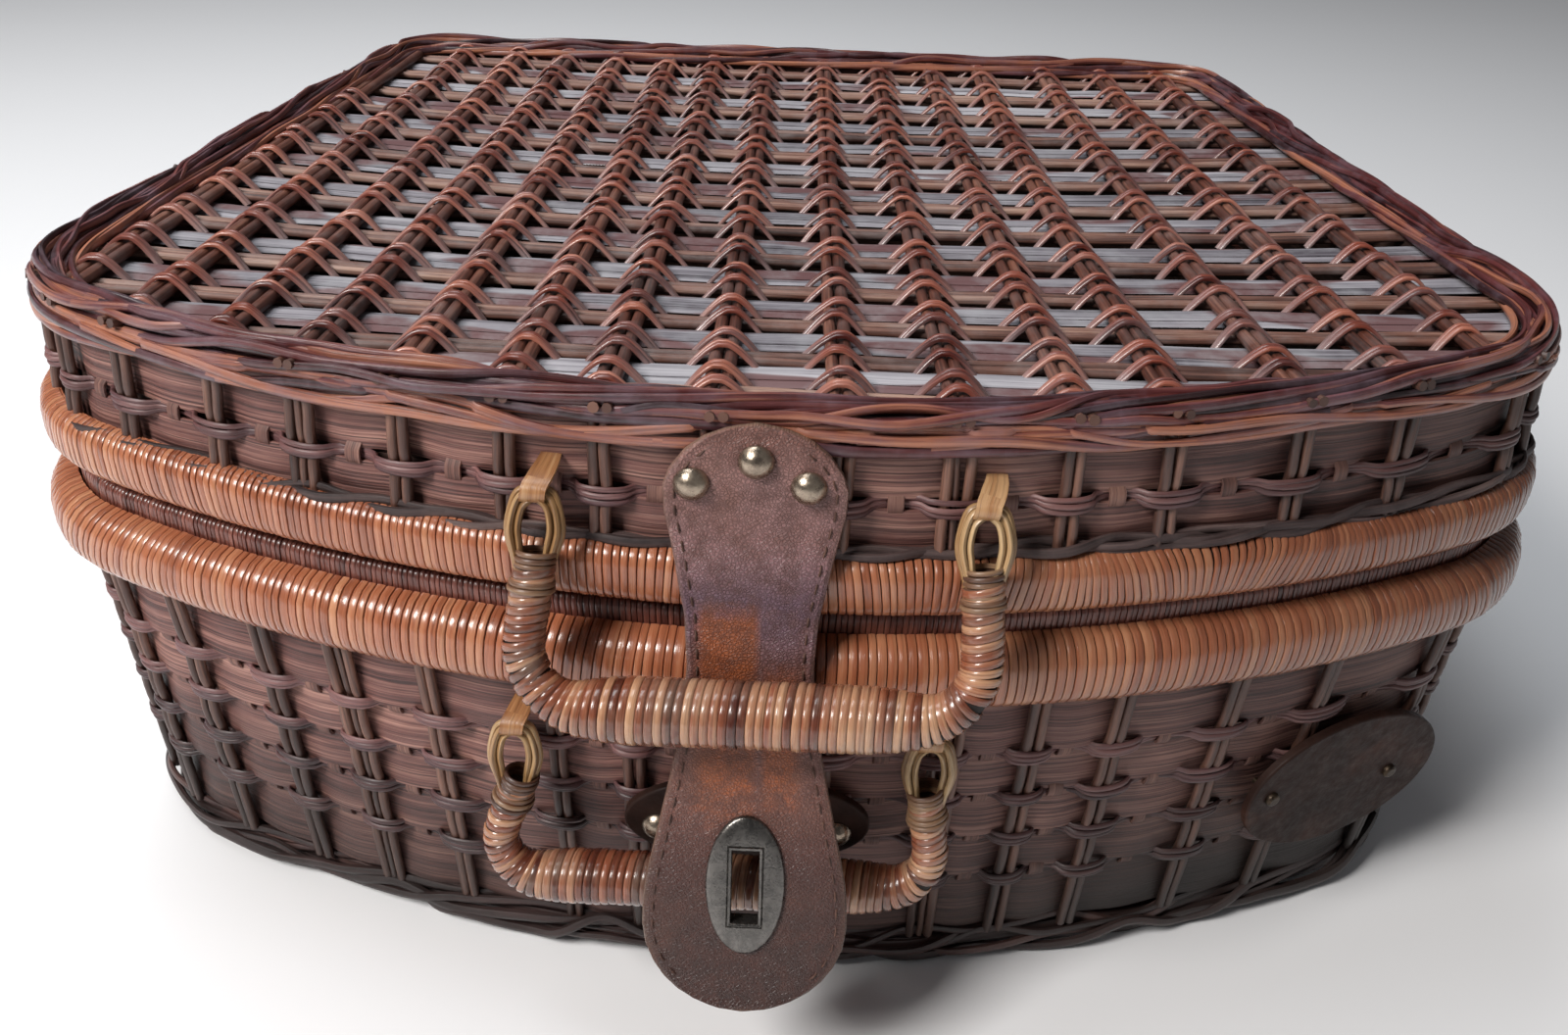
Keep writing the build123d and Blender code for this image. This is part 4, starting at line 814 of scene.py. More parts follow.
# loose ends of rods lie along the wall under the border and over the slats inside it
for c in range(5):
    S = np.linspace(0, PERIM, 900, endpoint=False)
    ph = 2 * math.pi * (7 * S / PERIM + c / 5) + smooth_noise(900, 0.6, 40, True)
    P, N = ring_seam(q_of_s(S), 202.6 + 3.1 * np.sin(ph), -1.9 - 0.5 * np.cos(ph) - 1.2 * (np.sin(ph) > 0.6))
    side, up = wall_frame(N, P)
    B.sweep(P, side, up, circle_prof(1.15, 7, 1.25, 0.85)[None] * (1 + smooth_noise(900, 0.12, 40, True))[:, None, None], rng.uniform(0.05, 0.9), closed=True)
for c in range(4):
    S = np.linspace(0, PERIM, 900, endpoint=False)
    ph = 2 * math.pi * (9 * S / PERIM + c / 4) + smooth_noise(900, 0.6, 40, True)
    P, N = ring_seam(q_of_s(S), 207.3 + 0.9 * np.cos(ph), -12.6 - 1.8 * np.sin(ph))
    side, up = wall_frame(N, P)
    B.sweep(P, side, up, circle_prof(1.1, 7, 1.2, 0.85)[None] * (1 + smooth_noise(900, 0.12, 40, True))[:, None, None], rng.uniform(0.2, 1.0), closed=True)
B.make("lid_border_strands", M_BORDER, "lid", "lid_rim_border")
B = Build(); twisted(B, ring_foot, 8.6, -5.6, 12, 5.3, 1.45, 420, 60, per=1000); twisted(B, ring_foot, 8.0, -6.6, 4, 2.4, 2.0, 600, 40, per=700); B.make("foot_border_strands", M_FOOT, "base", "base_foot_border")


# cut stake ends poking out of the border
B = Build()
for i, q in enumerate(STAKES):
    if rng.uniform() < 0.85:
        c0 = rng.uniform(-1.5, 1.5)
        for o in (-1.75, 1.75):
            s = STAKE_S[i] + o + c0
            t = np.linspace(0, 1, 5)
            P, N = ring_seam(q_of_s(s + 0 * t), 207.6 + rng.uniform(-0.2, 0.4) + 0.8 * t, -6.0 + (4.9 + rng.uniform(-0.4, 0.5)) * t)
            B.tube(P, 1.45 * rng.uniform(0.9, 1.08), 8, rng.uniform(0.2, 0.9), ref=(0, 0, 1))
B.make("border_stake_ends", M_STAKE, "lid")


# ------------------------------------------------------------------ lid top
def sag(x, y):
    yn = (np.asarray(y) - 185.0) / 205.0
    return 8.4 * np.clip(1 - (np.asarray(x) / 232.0) ** 2, 0, 1) * np.clip(1 - yn ** 2, 0, 1)


def fan(x0, y):
    return (x0 - FAN_X) * (1 - FAN * np.asarray(y)) + FAN_X


def half_width(y):
    """x of the border's inner edge at y on the right"""
    qs = np.linspace(0.5, 4.5, 900)
    P, N = O_SEAM.at(qs)
    P = P - N * 7.5
    return np.interp(y, P[:, 1][np.argsort(P[:, 1])], P[:, 0][np.argsort(P[:, 1])])


ys_edge = np.linspace(-20, 386, 800)
_qs = np.linspace(0.5, 4.499, 4000)
_PP, _NN = O_SEAM.at(_qs)
_PP = _PP - _NN * 7.5
_keep = np.maximum.accumulate(_PP[:, 1]) <= _PP[:, 1] + 1e-9


def edge_x(y):
    return float(np.interp(y, _PP[_keep][:, 1], _PP[_keep][:, 0]))


def edge_y(x):
    qs = np.linspace(0, 0.999, 400)
    P, N = O_SEAM.at(qs)
    P = P - N * 7.5
    if abs(x) > P[:, 0].max():
        qs = np.linspace(1, 1.999, 300)
        P, N = O_SEAM.at(qs)
        P = P - N * 7.5
        return float(np.interp(abs(x), P[:, 0], P[:, 1]))
    return float(np.interp(x, P[:, 0], P[:, 1]))


BS, BR = Build(), Build()
Z_TOP = 203.6


def strip_end(yc, w):
    """how far a strip of width w across the lid reaches before it meets the border"""
    lo, hi = yc - w / 2, yc + w / 2
    return min(edge_x(max(lo, -13.0)), edge_x(hi)) if lo > -13.0 else 0.0


def slat_prof(w, t):
    h = w / 2
    return np.array([[h, 0.0], [h - 0.3, t / 2], [h * 0.5, t / 2 + 0.12], [-h * 0.5, t / 2 + 0.12], [-h + 0.3, t / 2], [-h, 0.0], [-h + 0.3, -t / 2], [h - 0.3, -t / 2]])


for r in TOP_ROWS:
    for yc, kind, w in ((r + 15.2, "slat", 14.4), (r - 1.9, "rod", 4.0), (r + 1.9, "rod", 4.0)):
        if kind == "slat" and r > 360:
            continue
        e = strip_end(yc, w) - 0.5
        n = 150
        x = np.linspace(-e, e, n)
        y = np.full(n, yc) + smooth_noise(n, 0.35, 14)
        z = Z_TOP - sag(x, y) + smooth_noise(n, 0.15, 16)
        P = np.stack([x, y, z + (0.2 if kind == "slat" else 0.5)], -1)
        side, up = frames(P, (0, 0, 1))
        if kind == "slat":
            wv = 13.4 + smooth_noise(n, 0.25, 20)
            prof = slat_prof(1.0, 0.0)[None] * np.array([1.0, 0.0]) * wv[:, None, None] + slat_prof(14.2, 1.5)[None] * np.array([0.0, 1.0])
            BS.sweep(P, side, up, prof, rng.uniform(0.2, 0.8))
        else:
            BR.sweep(P, side, up, circle_prof(1.75, 8, 1.0, 0.9), rng.uniform(0.1, 0.9))
# the narrow first slat behind the front border
x = np.linspace(-96, 96, 80)
P = np.stack([x, -8.2 + x ** 2 / 900 * 0.45, Z_TOP - sag(x, -5.0)], -1)
side, up = frames(P)
BS.sweep(P, side, up, slat_prof(9.0, 1.4), 0.5)
BS.make("top_slats", M_SLAT, "lid", "lid_top_slats")
BR.make("top_rods", M_ROD, "lid", "lid_top_rods")

B = Build()
for x0 in STAKE_X:
    for dx in (-1.95, 1.95):
        y0 = edge_y(fan(x0, 0)) - 1
        y1 = 381.0
        n = 120
        y = np.linspace(y0, y1, n)
        x = fan(x0, y) + dx + smooth_noise(n, 0.2, 10)
        z = Z_TOP + 3.4 - sag(x, y)
        P = np.stack([x, y, z], -1)
        B.tube(P, 1.95 * rng.uniform(0.95, 1.08), 8, rng.uniform(0.2, 0.8), ref=(0, 0, 1))
B.make("top_stake_rods", M_TOPSTAKE, "lid", "lid_top_stakes")

B = Build()
for r in TOP_ROWS:
    for x0 in STAKE_X:
        for arc, (ye, yp) in enumerate(((r + 5.9, r + 7.6), (r - 5.9, r - 3.2))):
            xc = float(fan(x0, ye))
            if abs(xc) > edge_x(max(ye, -12)) - 9 or ye < edge_y(xc) + 2:
                continue
            wdt = rng.uniform(10.2, 11.6)
            hgt = rng.uniform(-0.2, 0.5)
            lean = rng.normal(0, 0.5)
            for c in range(2):
                n = 19
                t = np.linspace(-1, 1, n)
                a = np.abs(t)
                sh = np.clip(1 - (np.maximum(a - 0.12, 0) / 0.88) ** 1.35, 0, 1)
                x = xc + t * wdt + lean * sh + rng.normal(0, 0.25)
                dy = (c - 0.5) * 2.15
                y = ye + (yp - ye) * sh + dy * (0.6 + 0.4 * sh) + rng.normal(0, 0.12)
                z = Z_TOP - sag(xc, ye) - 2.2 + 8.6 * sh + hgt
                P = np.stack([x, y, z], -1)
                T = unit(np.gradient(P, axis=0))
                side = np.broadcast_to(np.array([0, 1.0, 0]), P.shape)
                side = unit(side - (side * T).sum(-1, keepdims=True) * T)
                up = np.cross(T, side)
                up = up * np.sign(up[:, 2:3] + 1e-9)
                B.sweep(P, side, up, ribbon_prof(2.15 * rng.uniform(0.88, 1.1), 1.0, 0.22), rng.uniform(0.1, 0.95), wear=0.75 * (1 - sh) ** 1.3)
B.make("top_bindings", M_ARC, "lid")


# ------------------------------------------------------------------ floor of the base
B = Build()
_fP, _fN = O_FOOT.at(np.linspace(0.5, 4.499, 1500)); _fP = _fP - _fN * 8.0
_fk = np.maximum.accumulate(_fP[:, 1]) <= _fP[:, 1] + 1e-9


def floor_x(y):
    return float(np.interp(y, _fP[_fk][:, 1], _fP[_fk][:, 0]))


_gP, _gN = O_FOOT.at(np.linspace(0.5, 1.6, 600)); _gP = _gP - _gN * 8.0


def floor_y(x):
    """front end of the floor at x"""
    return float(np.interp(x, _gP[:, 0], _gP[:, 1]))


for k, yc in enumerate(np.arange(14, 372, 14.5)):
    e = min(floor_x(max(yc - 6.9, 4.2)), floor_x(min(yc + 6.9, 366.0)))
    n = 110
    x = np.linspace(-e, e, n)
    z = 7.6 + 1.0 * np.cos(math.pi * (x / 14.5)) * (1 if k % 2 else -1)
    Q = np.stack([x, np.full(n, yc), z], -1)
    side, up = frames(Q)
    B.sweep(Q, side, up, ribbon_prof(13.4, 1.1, 0.2), rng.uniform(0.2, 0.9))
for k, xc in enumerate(np.arange(-203, 204, 14.5)):
    ys = np.linspace(6, 366, 361)
    ys = ys[[floor_x(v) > abs(xc) + 6.9 and floor_y(abs(xc) + 6.9) < v for v in ys]]
    if len(ys) < 30:
        continue
    y0, y1 = ys[0], ys[-1]
    n = 110
    y = np.linspace(y0, y1, n)
    z = 7.6 - 1.0 * np.cos(math.pi * (xc / 14.5)) * np.cos(math.pi * (y - 14) / 14.5 )
    Q = np.stack([np.full(n, xc), y, z], -1)
    side, up = frames(Q)
    B.sweep(Q, side, up, ribbon_prof(13.0, 1.1, 0.2), rng.uniform(0.2, 0.9))
B.make("floor_weave", M_FLOORWEAVE, "base", "base_floor")


# ------------------------------------------------------------------ handles
def wrap_turns(B, path, radius, pitch, crown, slant=0.0, r_fn=None, tones=(0.1, 0.95), wear=None, tight=1.02):
    """cane turns round a bar"""
    seg = np.linalg.norm(np.diff(path, axis=0), axis=1)
    u = np.concatenate([[0], np.cumsum(seg)])
    n = int(u[-1] / pitch)
    T = unit(np.gradient(path, axis=0))
    for i in range(n):
        uc = (i + 0.5) * u[-1] / n
        c = np.array([np.interp(uc, u, path[:, j]) for j in range(3)])
        t = unit(np.array([np.interp(uc, u, T[:, j]) for j in range(3)]))
        ref = np.array([0, 0, 1.0]) if abs(t[2]) < 0.8 else np.array([0, 1.0, 0])
        e1 = unit(np.cross(ref, t)); e2 = np.cross(t, e1)
        k = 18
        a = np.arange(k) * 2 * math.pi / k
        rad = radius if r_fn is None else r_fn(uc / u[-1])
        rad = rad + rng.uniform(-0.12, 0.15)
        out = np.cos(a)[:, None] * e1 + np.sin(a)[:, None] * e2
        w = u[-1] / n * tight
        tilt = slant * np.cos(a)
        P = c + out * (rad - 0.35) + t * tilt[:, None]
        side = np.broadcast_to(t, P.shape)
        h = w / 2
        pr = np.array([[h, -0.2], [h * 0.85, crown * 0.5], [h * 0.4, crown], [-h * 0.4, crown], [-h * 0.85, crown * 0.5], [-h, -0.2], [-h * 0.7, -0.6], [h * 0.7, -0.6]])
        B.sweep(P, side, out, pr, rng.uniform(*tones), closed=True)


def handle(h, name, body, wall_body, wall_y):
    x0, py, pz, gy, gz, half, rg, ra, fl, br = (h[k] for k in ("x", "py", "pz", "gy", "gz", "half", "rg", "ra", "fl", "br"))
    drop = math.hypot(py - gy, pz - gz)
    ux, uy, uz = 0, (py - gy) / drop, (pz - gz) / drop      # up along the handle
    fwd = np.array([0, -uz, uy])

    def at(a, b, f=0.0):
        """across a, down b, forwards f, in mm of the plan"""
        a, b = np.broadcast_arrays(np.asarray(a, float), np.asarray(b, float))
        p = np.stack([x0 + a, py - uy * b, pz - uz * b], -1)
        return p + fwd * np.asarray(f, float)[..., None]
    eye_h = 22.0
    arm = drop - eye_h
    corner = [np.array([-half - fl[0], drop]), np.array([half + fl[1], drop])]
    ends = [np.array([-half, eye_h]), np.array([half, eye_h])]

    def turn(c, p, q):
        """points of the fillet at corner c between p and q"""
        u, v = unit(p - c), unit(q - c)
        ang = math.acos(float(u @ v))
        t = br / math.tan(ang / 2)
        mid = c + unit(u + v) * br / math.sin(ang / 2)
        a0, a1 = c + u * t, c + v * t
        k = np.linspace(0, 1, 16)
        w = math.pi - ang
        d0 = a0 - mid
        d1 = a1 - mid
        return np.array([mid + (math.sin((1 - f) * w) * d0 + math.sin(f * w) * d1) / math.sin(w) for f in k])
    c1, c2 = turn(corner[0], ends[0], corner[1]), turn(corner[1], corner[0], ends[1])
    up0 = ends[0] + unit(ends[0] - c1[0]) * 2.0
    up1 = ends[1] + unit(ends[1] - c2[-1]) * 2.0
    lin = lambda p, q, n: p + (q - p) * np.linspace(0, 1, n)[:, None]
    pts = np.vstack([lin(up0, c1[0], 14)[:-1], c1, lin(c1[-1], c2[0], 40)[1:-1], c2, lin(c2[-1], up1, 14)[1:]])
    path = at(pts[:, 0], pts[:, 1])
    seg = np.concatenate([[0], np.cumsum(np.linalg.norm(np.diff(path, axis=0), axis=1))])
    total = seg[-1]
    turn_len = [float(np.linalg.norm(up0 - c1[0])) + br * 1.5, float(np.linalg.norm(up1 - c2[-1])) + br * 1.5]

    def rad(t):
        s = t * total
        g = min(s - turn_len[0], total - s - turn_len[1])
        f = min(1.0, max(0.0, (g + 14.0) / 30.0))
        f = f * f * (3 - 2 * f)
        return ra + (rg - ra) * f
    B, C = Build(), Build()
    wrap_turns(B, path, ra, 2.35, 0.26, 1.2, rad, tight=0.99)
    # the core under the handle wrap is near black: painted shade in the gaps between turns
    C.tube(path, np.array([rad(u / total) - 0.85 for u in seg]), 16, 0.4, ref=(0, 1, 0.2))
    B.make(name + "_wrap", M_GRIP, body, name + "_grip")
    C.make(name + "_core", M_CORE_SHADE, body)
    # eyes: parallel canes bent over the tab
    B = Build()
    for sgn in (-1, 1):
        for lat, f in ((-1.55, 0.55), (-0.5, -0.75), (0.55, 0.75), (1.6, -0.45)):
            c = sgn * half
            w = 5.2 + lat * 0.95
            tw = 3.3 + lat * 0.5
            top = 0.75 - lat * 0.8
            b = [(c - tw, eye_h + 3), (c - tw - 0.6, eye_h - 3), (c - w + 0.1, eye_h - 8), (c - w - 0.7, 10.0), (c - w + 0.3, 4.6), (c - w + 1.6, top + 1.2), (c - w + 3.6, top - 0.2),
                 (c + w - 3.6, top - 0.2), (c + w - 1.6, top + 1.2), (c + w - 0.3, 4.6), (c + w + 0.7, 10.0), (c + w - 0.1, eye_h - 8), (c + tw + 0.6, eye_h - 3), (c + tw, eye_h + 3)]
            b = np.array(b)
            t = np.linspace(0, len(b) - 1, 72)
            bb = np.stack([np.interp(t, np.arange(len(b)), b[:, 0]), np.interp(t, np.arange(len(b)), b[:, 1])], -1)
            for _ in range(7):
                bb[1:-1] = (bb[:-2] + 2 * bb[1:-1] + bb[2:]) / 4
            ff = f * np.clip(0.45 + bb[:, 1] / 16.0, 0.45, 1.3)
            side, up = frames(at(bb[:, 0], bb[:, 1], ff), fwd)
            B.sweep(at(bb[:, 0], bb[:, 1], ff), side, up, circle_prof(1.0, 8, 0.95, 1.25), rng.uniform(0.3, 1.0))
    B.make(name + "_eye_canes", M_STRAW, body, name + "_eyes")
    # fine whipping where the eye meets the arm
    B = Build()
    for e, u in ((ends[0], unit(c1[0] - ends[0])), (ends[1], unit(c2[-1] - ends[1]))):
        k = np.linspace(-6.5, 4.5, 12)
        pth = at(e[0] + u[0] * k, e[1] + u[1] * k)
        wrap_turns(B, pth, 5.2, 1.5, 0.4, 0.35, lambda t: 5.0 + 1.1 * t + 0.35 * math.sin(t * 9), (0.1, 0.9), tight=0.97)
    B.make(name + "_whipping", M_WHIP, body)
    # folded cane tabs round the eye and through the wall round a peg
    B = Build()
    for sgn in (-1, 1):
        xt = x0 + sgn * half
        y1 = wall_y(xt, pz) + 5.0 + 2.1 + 1.6
        r = 2.75
        a = np.linspace(-math.pi / 2, math.pi / 2, 11)
        back = np.stack([y1 + r * np.cos(a), pz + r * np.sin(a)], -1)
        front = np.stack([py - r * np.cos(a[::-1]), pz + r * np.sin(a[::-1])], -1)
        wy = wall_y(xt, pz)
        loop = np.vstack([front, lin(np.array([py + 1, pz - r]), np.array([y1 - 1, pz - r]), 6), back, np.array([[y1 - 2.0, pz + r + 0.6], [wy + 3.5, pz + 5.2], [wy - 0.3, pz + 5.9], [wy - 2.2, pz + 5.0], [py + 1.2, pz + r + 0.9]])])
        for _ in range(2):
            loop = (np.roll(loop, 1, 0) + 2 * loop + np.roll(loop, -1, 0)) / 4
        for off, tn in ((0.0, 0.35 + 0.3 * (sgn > 0)),):
            skew = np.interp(loop[:, 1], [pz - 3, pz + 2, pz + 6], [-0.8, 0.0, 3.4])
            P = np.stack([xt + skew, loop[:, 0], loop[:, 1]], -1)
            T = unit(np.roll(P, -1, 0) - np.roll(P, 1, 0))
            side = np.broadcast_to(np.array([1.0, 0, 0]), P.shape)
            side = unit(side - (side * T).sum(-1, keepdims=True) * T)
            up = np.cross(side, T)
            cen = P.mean(0)
            up = up * np.sign(((P - cen) * up).sum(-1, keepdims=True) + 1e-9)
            wv = np.interp(loop[:, 0], [py - 3, py + 2, wy], [6.6, 6.8, 5.6])
            pr = ribbon_prof(1.0, 0.0)[None] * np.array([1.0, 0.0]) * wv[:, None, None] + ribbon_prof(6.2, 0.95, 0.15)[None] * np.array([0.0, 1.0])
            B.sweep(P, side, up, pr, tn, closed=True)
    B.make(name + "_tab_canes", M_TAB, wall_body, name + "_tabs")


UPPER = dict(x=-6.0, py=-20.5, pz=185.5, gy=-40.4, gz=131.5, half=58.5, rg=9.1, ra=5.8, fl=(4.5, 1.5), br=17.0)
LOWER = dict(x=-15.0, py=-19.0, pz=107.0, gy=-25.5, gz=56.5, half=59.5, rg=8.0, ra=5.4, fl=(10.0, 4.0), br=13.0)
bow = lambda x: BOW_R - math.sqrt(BOW_R ** 2 - x ** 2)
lid_y = lambda x, z: -21.0 + bow(x) - (D_LID[0] + (D_LID[1] - D_LID[0]) * (z - Z_LID[0]) / (Z_LID[1] - Z_LID[0]))
base_y = lambda x, z: -4.0 - 13.0 * (z - 20.0) / 106.0 + bow(x)
handle(UPPER, "upper_handle", "upper_handle", "lid", lid_y)
handle(LOWER, "lower_handle", "lower_handle", "base", base_y)


def recolor(node, material):
    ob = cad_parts[node]
    for i in range(len(ob.data.materials)):
        ob.data.materials[i] = material
    if not len(ob.data.materials):
        ob.data.materials.append(material)


# ------------------------------------------------------------------ strap
def strap_line(s):
    """middle line of the strap (y, z) by distance s below its top, with its outward direction"""
    pts = np.array([(-20.6, 207.5), (-21.6, 203.0), (-21.9, 196.0), (-21.9, 186.0), (-22.1, 179.0), (-23.6, 173.0), (-25.6, 167.5), (-26.3, 161.0),
                    (-26.4, 155.0), (-27.0, 149.0), (-28.6, 143.0), (-29.3, 137.0), (-29.4, 129.0), (-29.3, 121.0), (-30.0, 115.5), (-31.9, 109.5),
                    (-34.3, 103.0), (-38.5, 91.5), (-43.6, 77.5), (-48.6, 63.5), (-53.0, 50.5), (-57.3, 41.2)])
    for _ in range(2):
        mid = (pts[:-1] + pts[1:]) / 2
        new = np.empty((len(pts) * 2 - 1, 2))
        new[::2] = pts; new[1::2] = mid
        new[2:-2:2] = (new[1:-3:2] + 2 * new[2:-2:2] + new[3:-1:2]) / 4
        pts = new
    L = np.concatenate([[0], np.cumsum(np.linalg.norm(np.diff(pts, axis=0), axis=1))])
    s = np.asarray(s, float) * L[-1]
    y, z = np.interp(s, L, pts[:, 0]), np.interp(s, L, pts[:, 1])
    g = np.gradient(pts, L, axis=0)
    ty, tz = np.interp(s, L, g[:, 0]), np.interp(s, L, g[:, 1])
    ln = np.hypot(ty, tz)
    ny, nz = tz / ln, -ty / ln
    return np.stack([y, z], -1), np.stack([ny, nz], -1), L[-1]


STRAP_X = -7.5
_, _, STRAP_L = strap_line([0.0])


def strap_half(s):
    """half width by distance (mm) from the top"""
    k = [(0.0, 0.2), (1.2, 7.5), (4.0, 14.0), (8.0, 18.8), (13.0, 22.3), (18.0, 24.0), (26.0, 23.6), (40.0, 20.6), (56.0, 17.9), (70.0, 17.1), (84.0, 17.8),
         (96.0, 19.6), (110.0, 22.4), (124.0, 25.3), (136.0, 27.8), (143.0, 28.5), (150.0, 28.6), (156.0, 27.6), (161.0, 25.4), (165.0, 22.4), (168.5, 18.4), (171.2, 13.6), (173.0, 8.4), (173.8, 4.0), (174.0, 0.2)]
    k = np.array(k)
    k[:, 0] *= STRAP_L / 174.0
    return np.interp(s, k[:, 0], k[:, 1])


def strap_pt(s, x, off=0.0):
    """point on the strap: s mm down, x mm across, off mm outwards of the middle"""
    s, x, off = np.broadcast_arrays(np.asarray(s, float), np.asarray(x, float), np.asarray(off, float))
    c, nn, _ = strap_line(s / STRAP_L)
    bow_ = 0.0012 * x ** 2 * np.clip((s - 95) / 50, 0, 1)
    o = off - bow_
    return np.stack([STRAP_X + x + 1.0 * np.clip((s - 60) / 100, 0, 1), c[..., 0] + nn[..., 0] * o, c[..., 1] + nn[..., 1] * o], -1)


n_s, n_x = 190, 34
ss = np.unique(np.concatenate([np.linspace(0, 10, 14), np.linspace(10, STRAP_L - 14, n_s - 34), np.linspace(STRAP_L - 14, STRAP_L, 20)]).round(6))
xx = np.linspace(-1, 1, n_x)
hw = strap_half(ss)
B = Build()
T2 = 1.5
# a closed section round each row: front face, edge, back face, edge
ring_x = np.concatenate([xx * 0.985, [1.0], xx[::-1] * 0.985, [-1.0]])
ring_o = np.concatenate([np.full(n_x, T2) - 0.55 * (np.abs(xx) > 0.97), [0.0], np.full(n_x, -T2) + 0.3 * (np.abs(xx) > 0.97), [0.0]])
P = strap_pt(ss[:, None], ring_x[None] * hw[:, None], np.broadcast_to(ring_o, (len(ss), len(ring_x))))
# pressed groove along the stitch line
edge_d = np.minimum(hw[:, None] * (1 - np.abs(ring_x[None])), np.minimum(ss, STRAP_L - ss)[:, None] * 0.9)
groove = -0.28 * np.exp(-((edge_d - 3.0) / 0.8) ** 2) * (ring_o[None] > 1.0)
c_, n_, _ = strap_line(ss / STRAP_L)
P[..., 1] += groove * n_[:, 0:1]; P[..., 2] += groove * n_[:, 1:2]
S0 = 145.5 * STRAP_L / 174.0 - 9.0
uvw = np.stack([np.broadcast_to(ss[:, None], P.shape[:2]), ring_x[None] * hw[:, None]], -1)
B.grid(P, closed_v=True, uv=uvw)
# the slot is cut through the leather: faces inside it go, and walls join the front to the back
n_r, n_c = len(ss), len(ring_x)
F_, U_ = B.F[-1].reshape(n_r - 1, n_c, 4), B.U[-1].reshape(n_r - 1, n_c, 4, 2)
sm = (ss[:-1] + ss[1:]) / 2
xm = (xx[:-1] + xx[1:]) / 2 * 0.985
hole = (np.abs(sm - S0)[:, None] < 12.2) & (np.abs(xm[None] * ((hw[:-1] + hw[1:]) / 2)[:, None]) < 5.4)
gone = np.zeros((n_r - 1, n_c), bool)
gone[:, :n_x - 1] = hole
gone[:, n_x + 1:2 * n_x] = hole[:, ::-1]
wallf = []
vid = lambda i, c: i * n_c + c
twin = lambda c: 2 * n_x - c                 # the back's column behind a front column
for i in range(n_r - 1):
    for c in range(n_x - 1):
        if not hole[i, c]:
            continue
        for (ia, ca, ib, cb, di, dc) in ((i, c, i, c + 1, -1, 0), (i + 1, c + 1, i + 1, c, 1, 0), (i + 1, c, i, c, 0, -1), (i, c + 1, i + 1, c + 1, 0, 1)):
            if not hole[i + di, c + dc]:
                wallf.append([vid(ia, ca), vid(ib, cb), vid(ib, twin(cb)), vid(ia, twin(ca))])
wallf = np.array(wallf)
B.F[-1] = np.concatenate([F_[~gone], wallf])
B.U[-1] = np.concatenate([U_[~gone], np.full((len(wallf), 4, 2), S0)])
# close the two ends of the strap
for base_, flip in ((0, False), ((n_r - 1) * n_c, True)):
    cap = [[base_ + c, base_ + c + 1, base_ + twin(c + 1), base_ + twin(c)] for c in range(n_x - 1)]
    cap = np.array(cap)[:, ::-1] if not flip else np.array(cap)
    B.F[-1] = np.concatenate([B.F[-1], cap]); B.U[-1] = np.concatenate([B.U[-1], np.full((len(cap), 4, 2), 0.0)])
edge = np.clip(1 - edge_d / 0.8, 0, 1) * 0.45
back = (ring_o[None] < 0.9) * 0.85 * np.ones_like(edge_d)
B.L[-1] = np.clip(np.maximum(edge * (ring_o[None] > 0.5), back), 0, 1).ravel()
strap = B.make("strap_leather", M_LEATHER, None, "strap_head", "strap_flap", sharp=35)
tuple(m([STRAP_X, -29.4, 125.0]))
tuple(m([STRAP_X, -31.2, 111.0]))
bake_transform(strap)

# stitches
BH, BF = Build(), Build()
line = []
for s in np.arange(4.5, STRAP_L - 4.0, 0.25):
    h = float(strap_half(s))
    line.append((s, h))
line = np.array(line)


def stitch_path(side):
    s = line[:, 0]
    h = line[:, 1]
    dh = np.gradient(h, s)
    off = 3.0 / np.sqrt(1 + dh ** 2)
    px = h - off
    ps = s + 3.0 * dh / np.sqrt(1 + dh ** 2)
    ok = px > 0.4
    return np.stack([ps[ok], side * px[ok]], -1)


for side_ in (-1, 1):
    pth = stitch_path(side_)
    L = np.concatenate([[0], np.cumsum(np.linalg.norm(np.diff(pth, axis=0), axis=1))])
    k = 0.0
    while k + 3.6 < L[-1]:
        t = np.linspace(k, k + 3.5, 6)
        sx = np.interp(t, L, pth[:, 0]); xx_ = np.interp(t, L, pth[:, 1])
        hump = np.array([-0.5, 0.1, 0.25, 0.25, 0.1, -0.5])
        Q = strap_pt(sx, xx_, T2 - 0.2 + hump)
        (BH if sx.mean() < 92 else BF).tube(Q, 0.32, 6, rng.uniform(0.2, 0.8), ref=(1, 0, 0))
        k += 5.2
BH.make("strap_stitches_head", M_THREAD, "lid")
BF.make("strap_stitches_end", M_THREAD, "strap_end")


# ------------------------------------------------------------------ metal fittings
def turned(B, origin, axis, prof, k=28, tone=0.5):
    """surface of revolution: prof is (radius, height) pairs along the axis"""
    axis = unit(np.asarray(axis, float))
    ref = np.array([1.0, 0, 0]) if abs(axis[0]) < 0.9 else np.array([0, 0, 1.0])
    e1 = unit(np.cross(axis, ref)); e2 = np.cross(axis, e1)
    a = np.arange(k) * 2 * math.pi / k
    pr = np.array(prof, float)
    P = np.asarray(origin, float) + pr[:, None, 0:1] * (np.cos(a)[None, :, None] * e1 + np.sin(a)[None, :, None] * e2) + pr[:, None, 1:2] * axis
    B.grid(P[::-1], tone, closed_v=True)


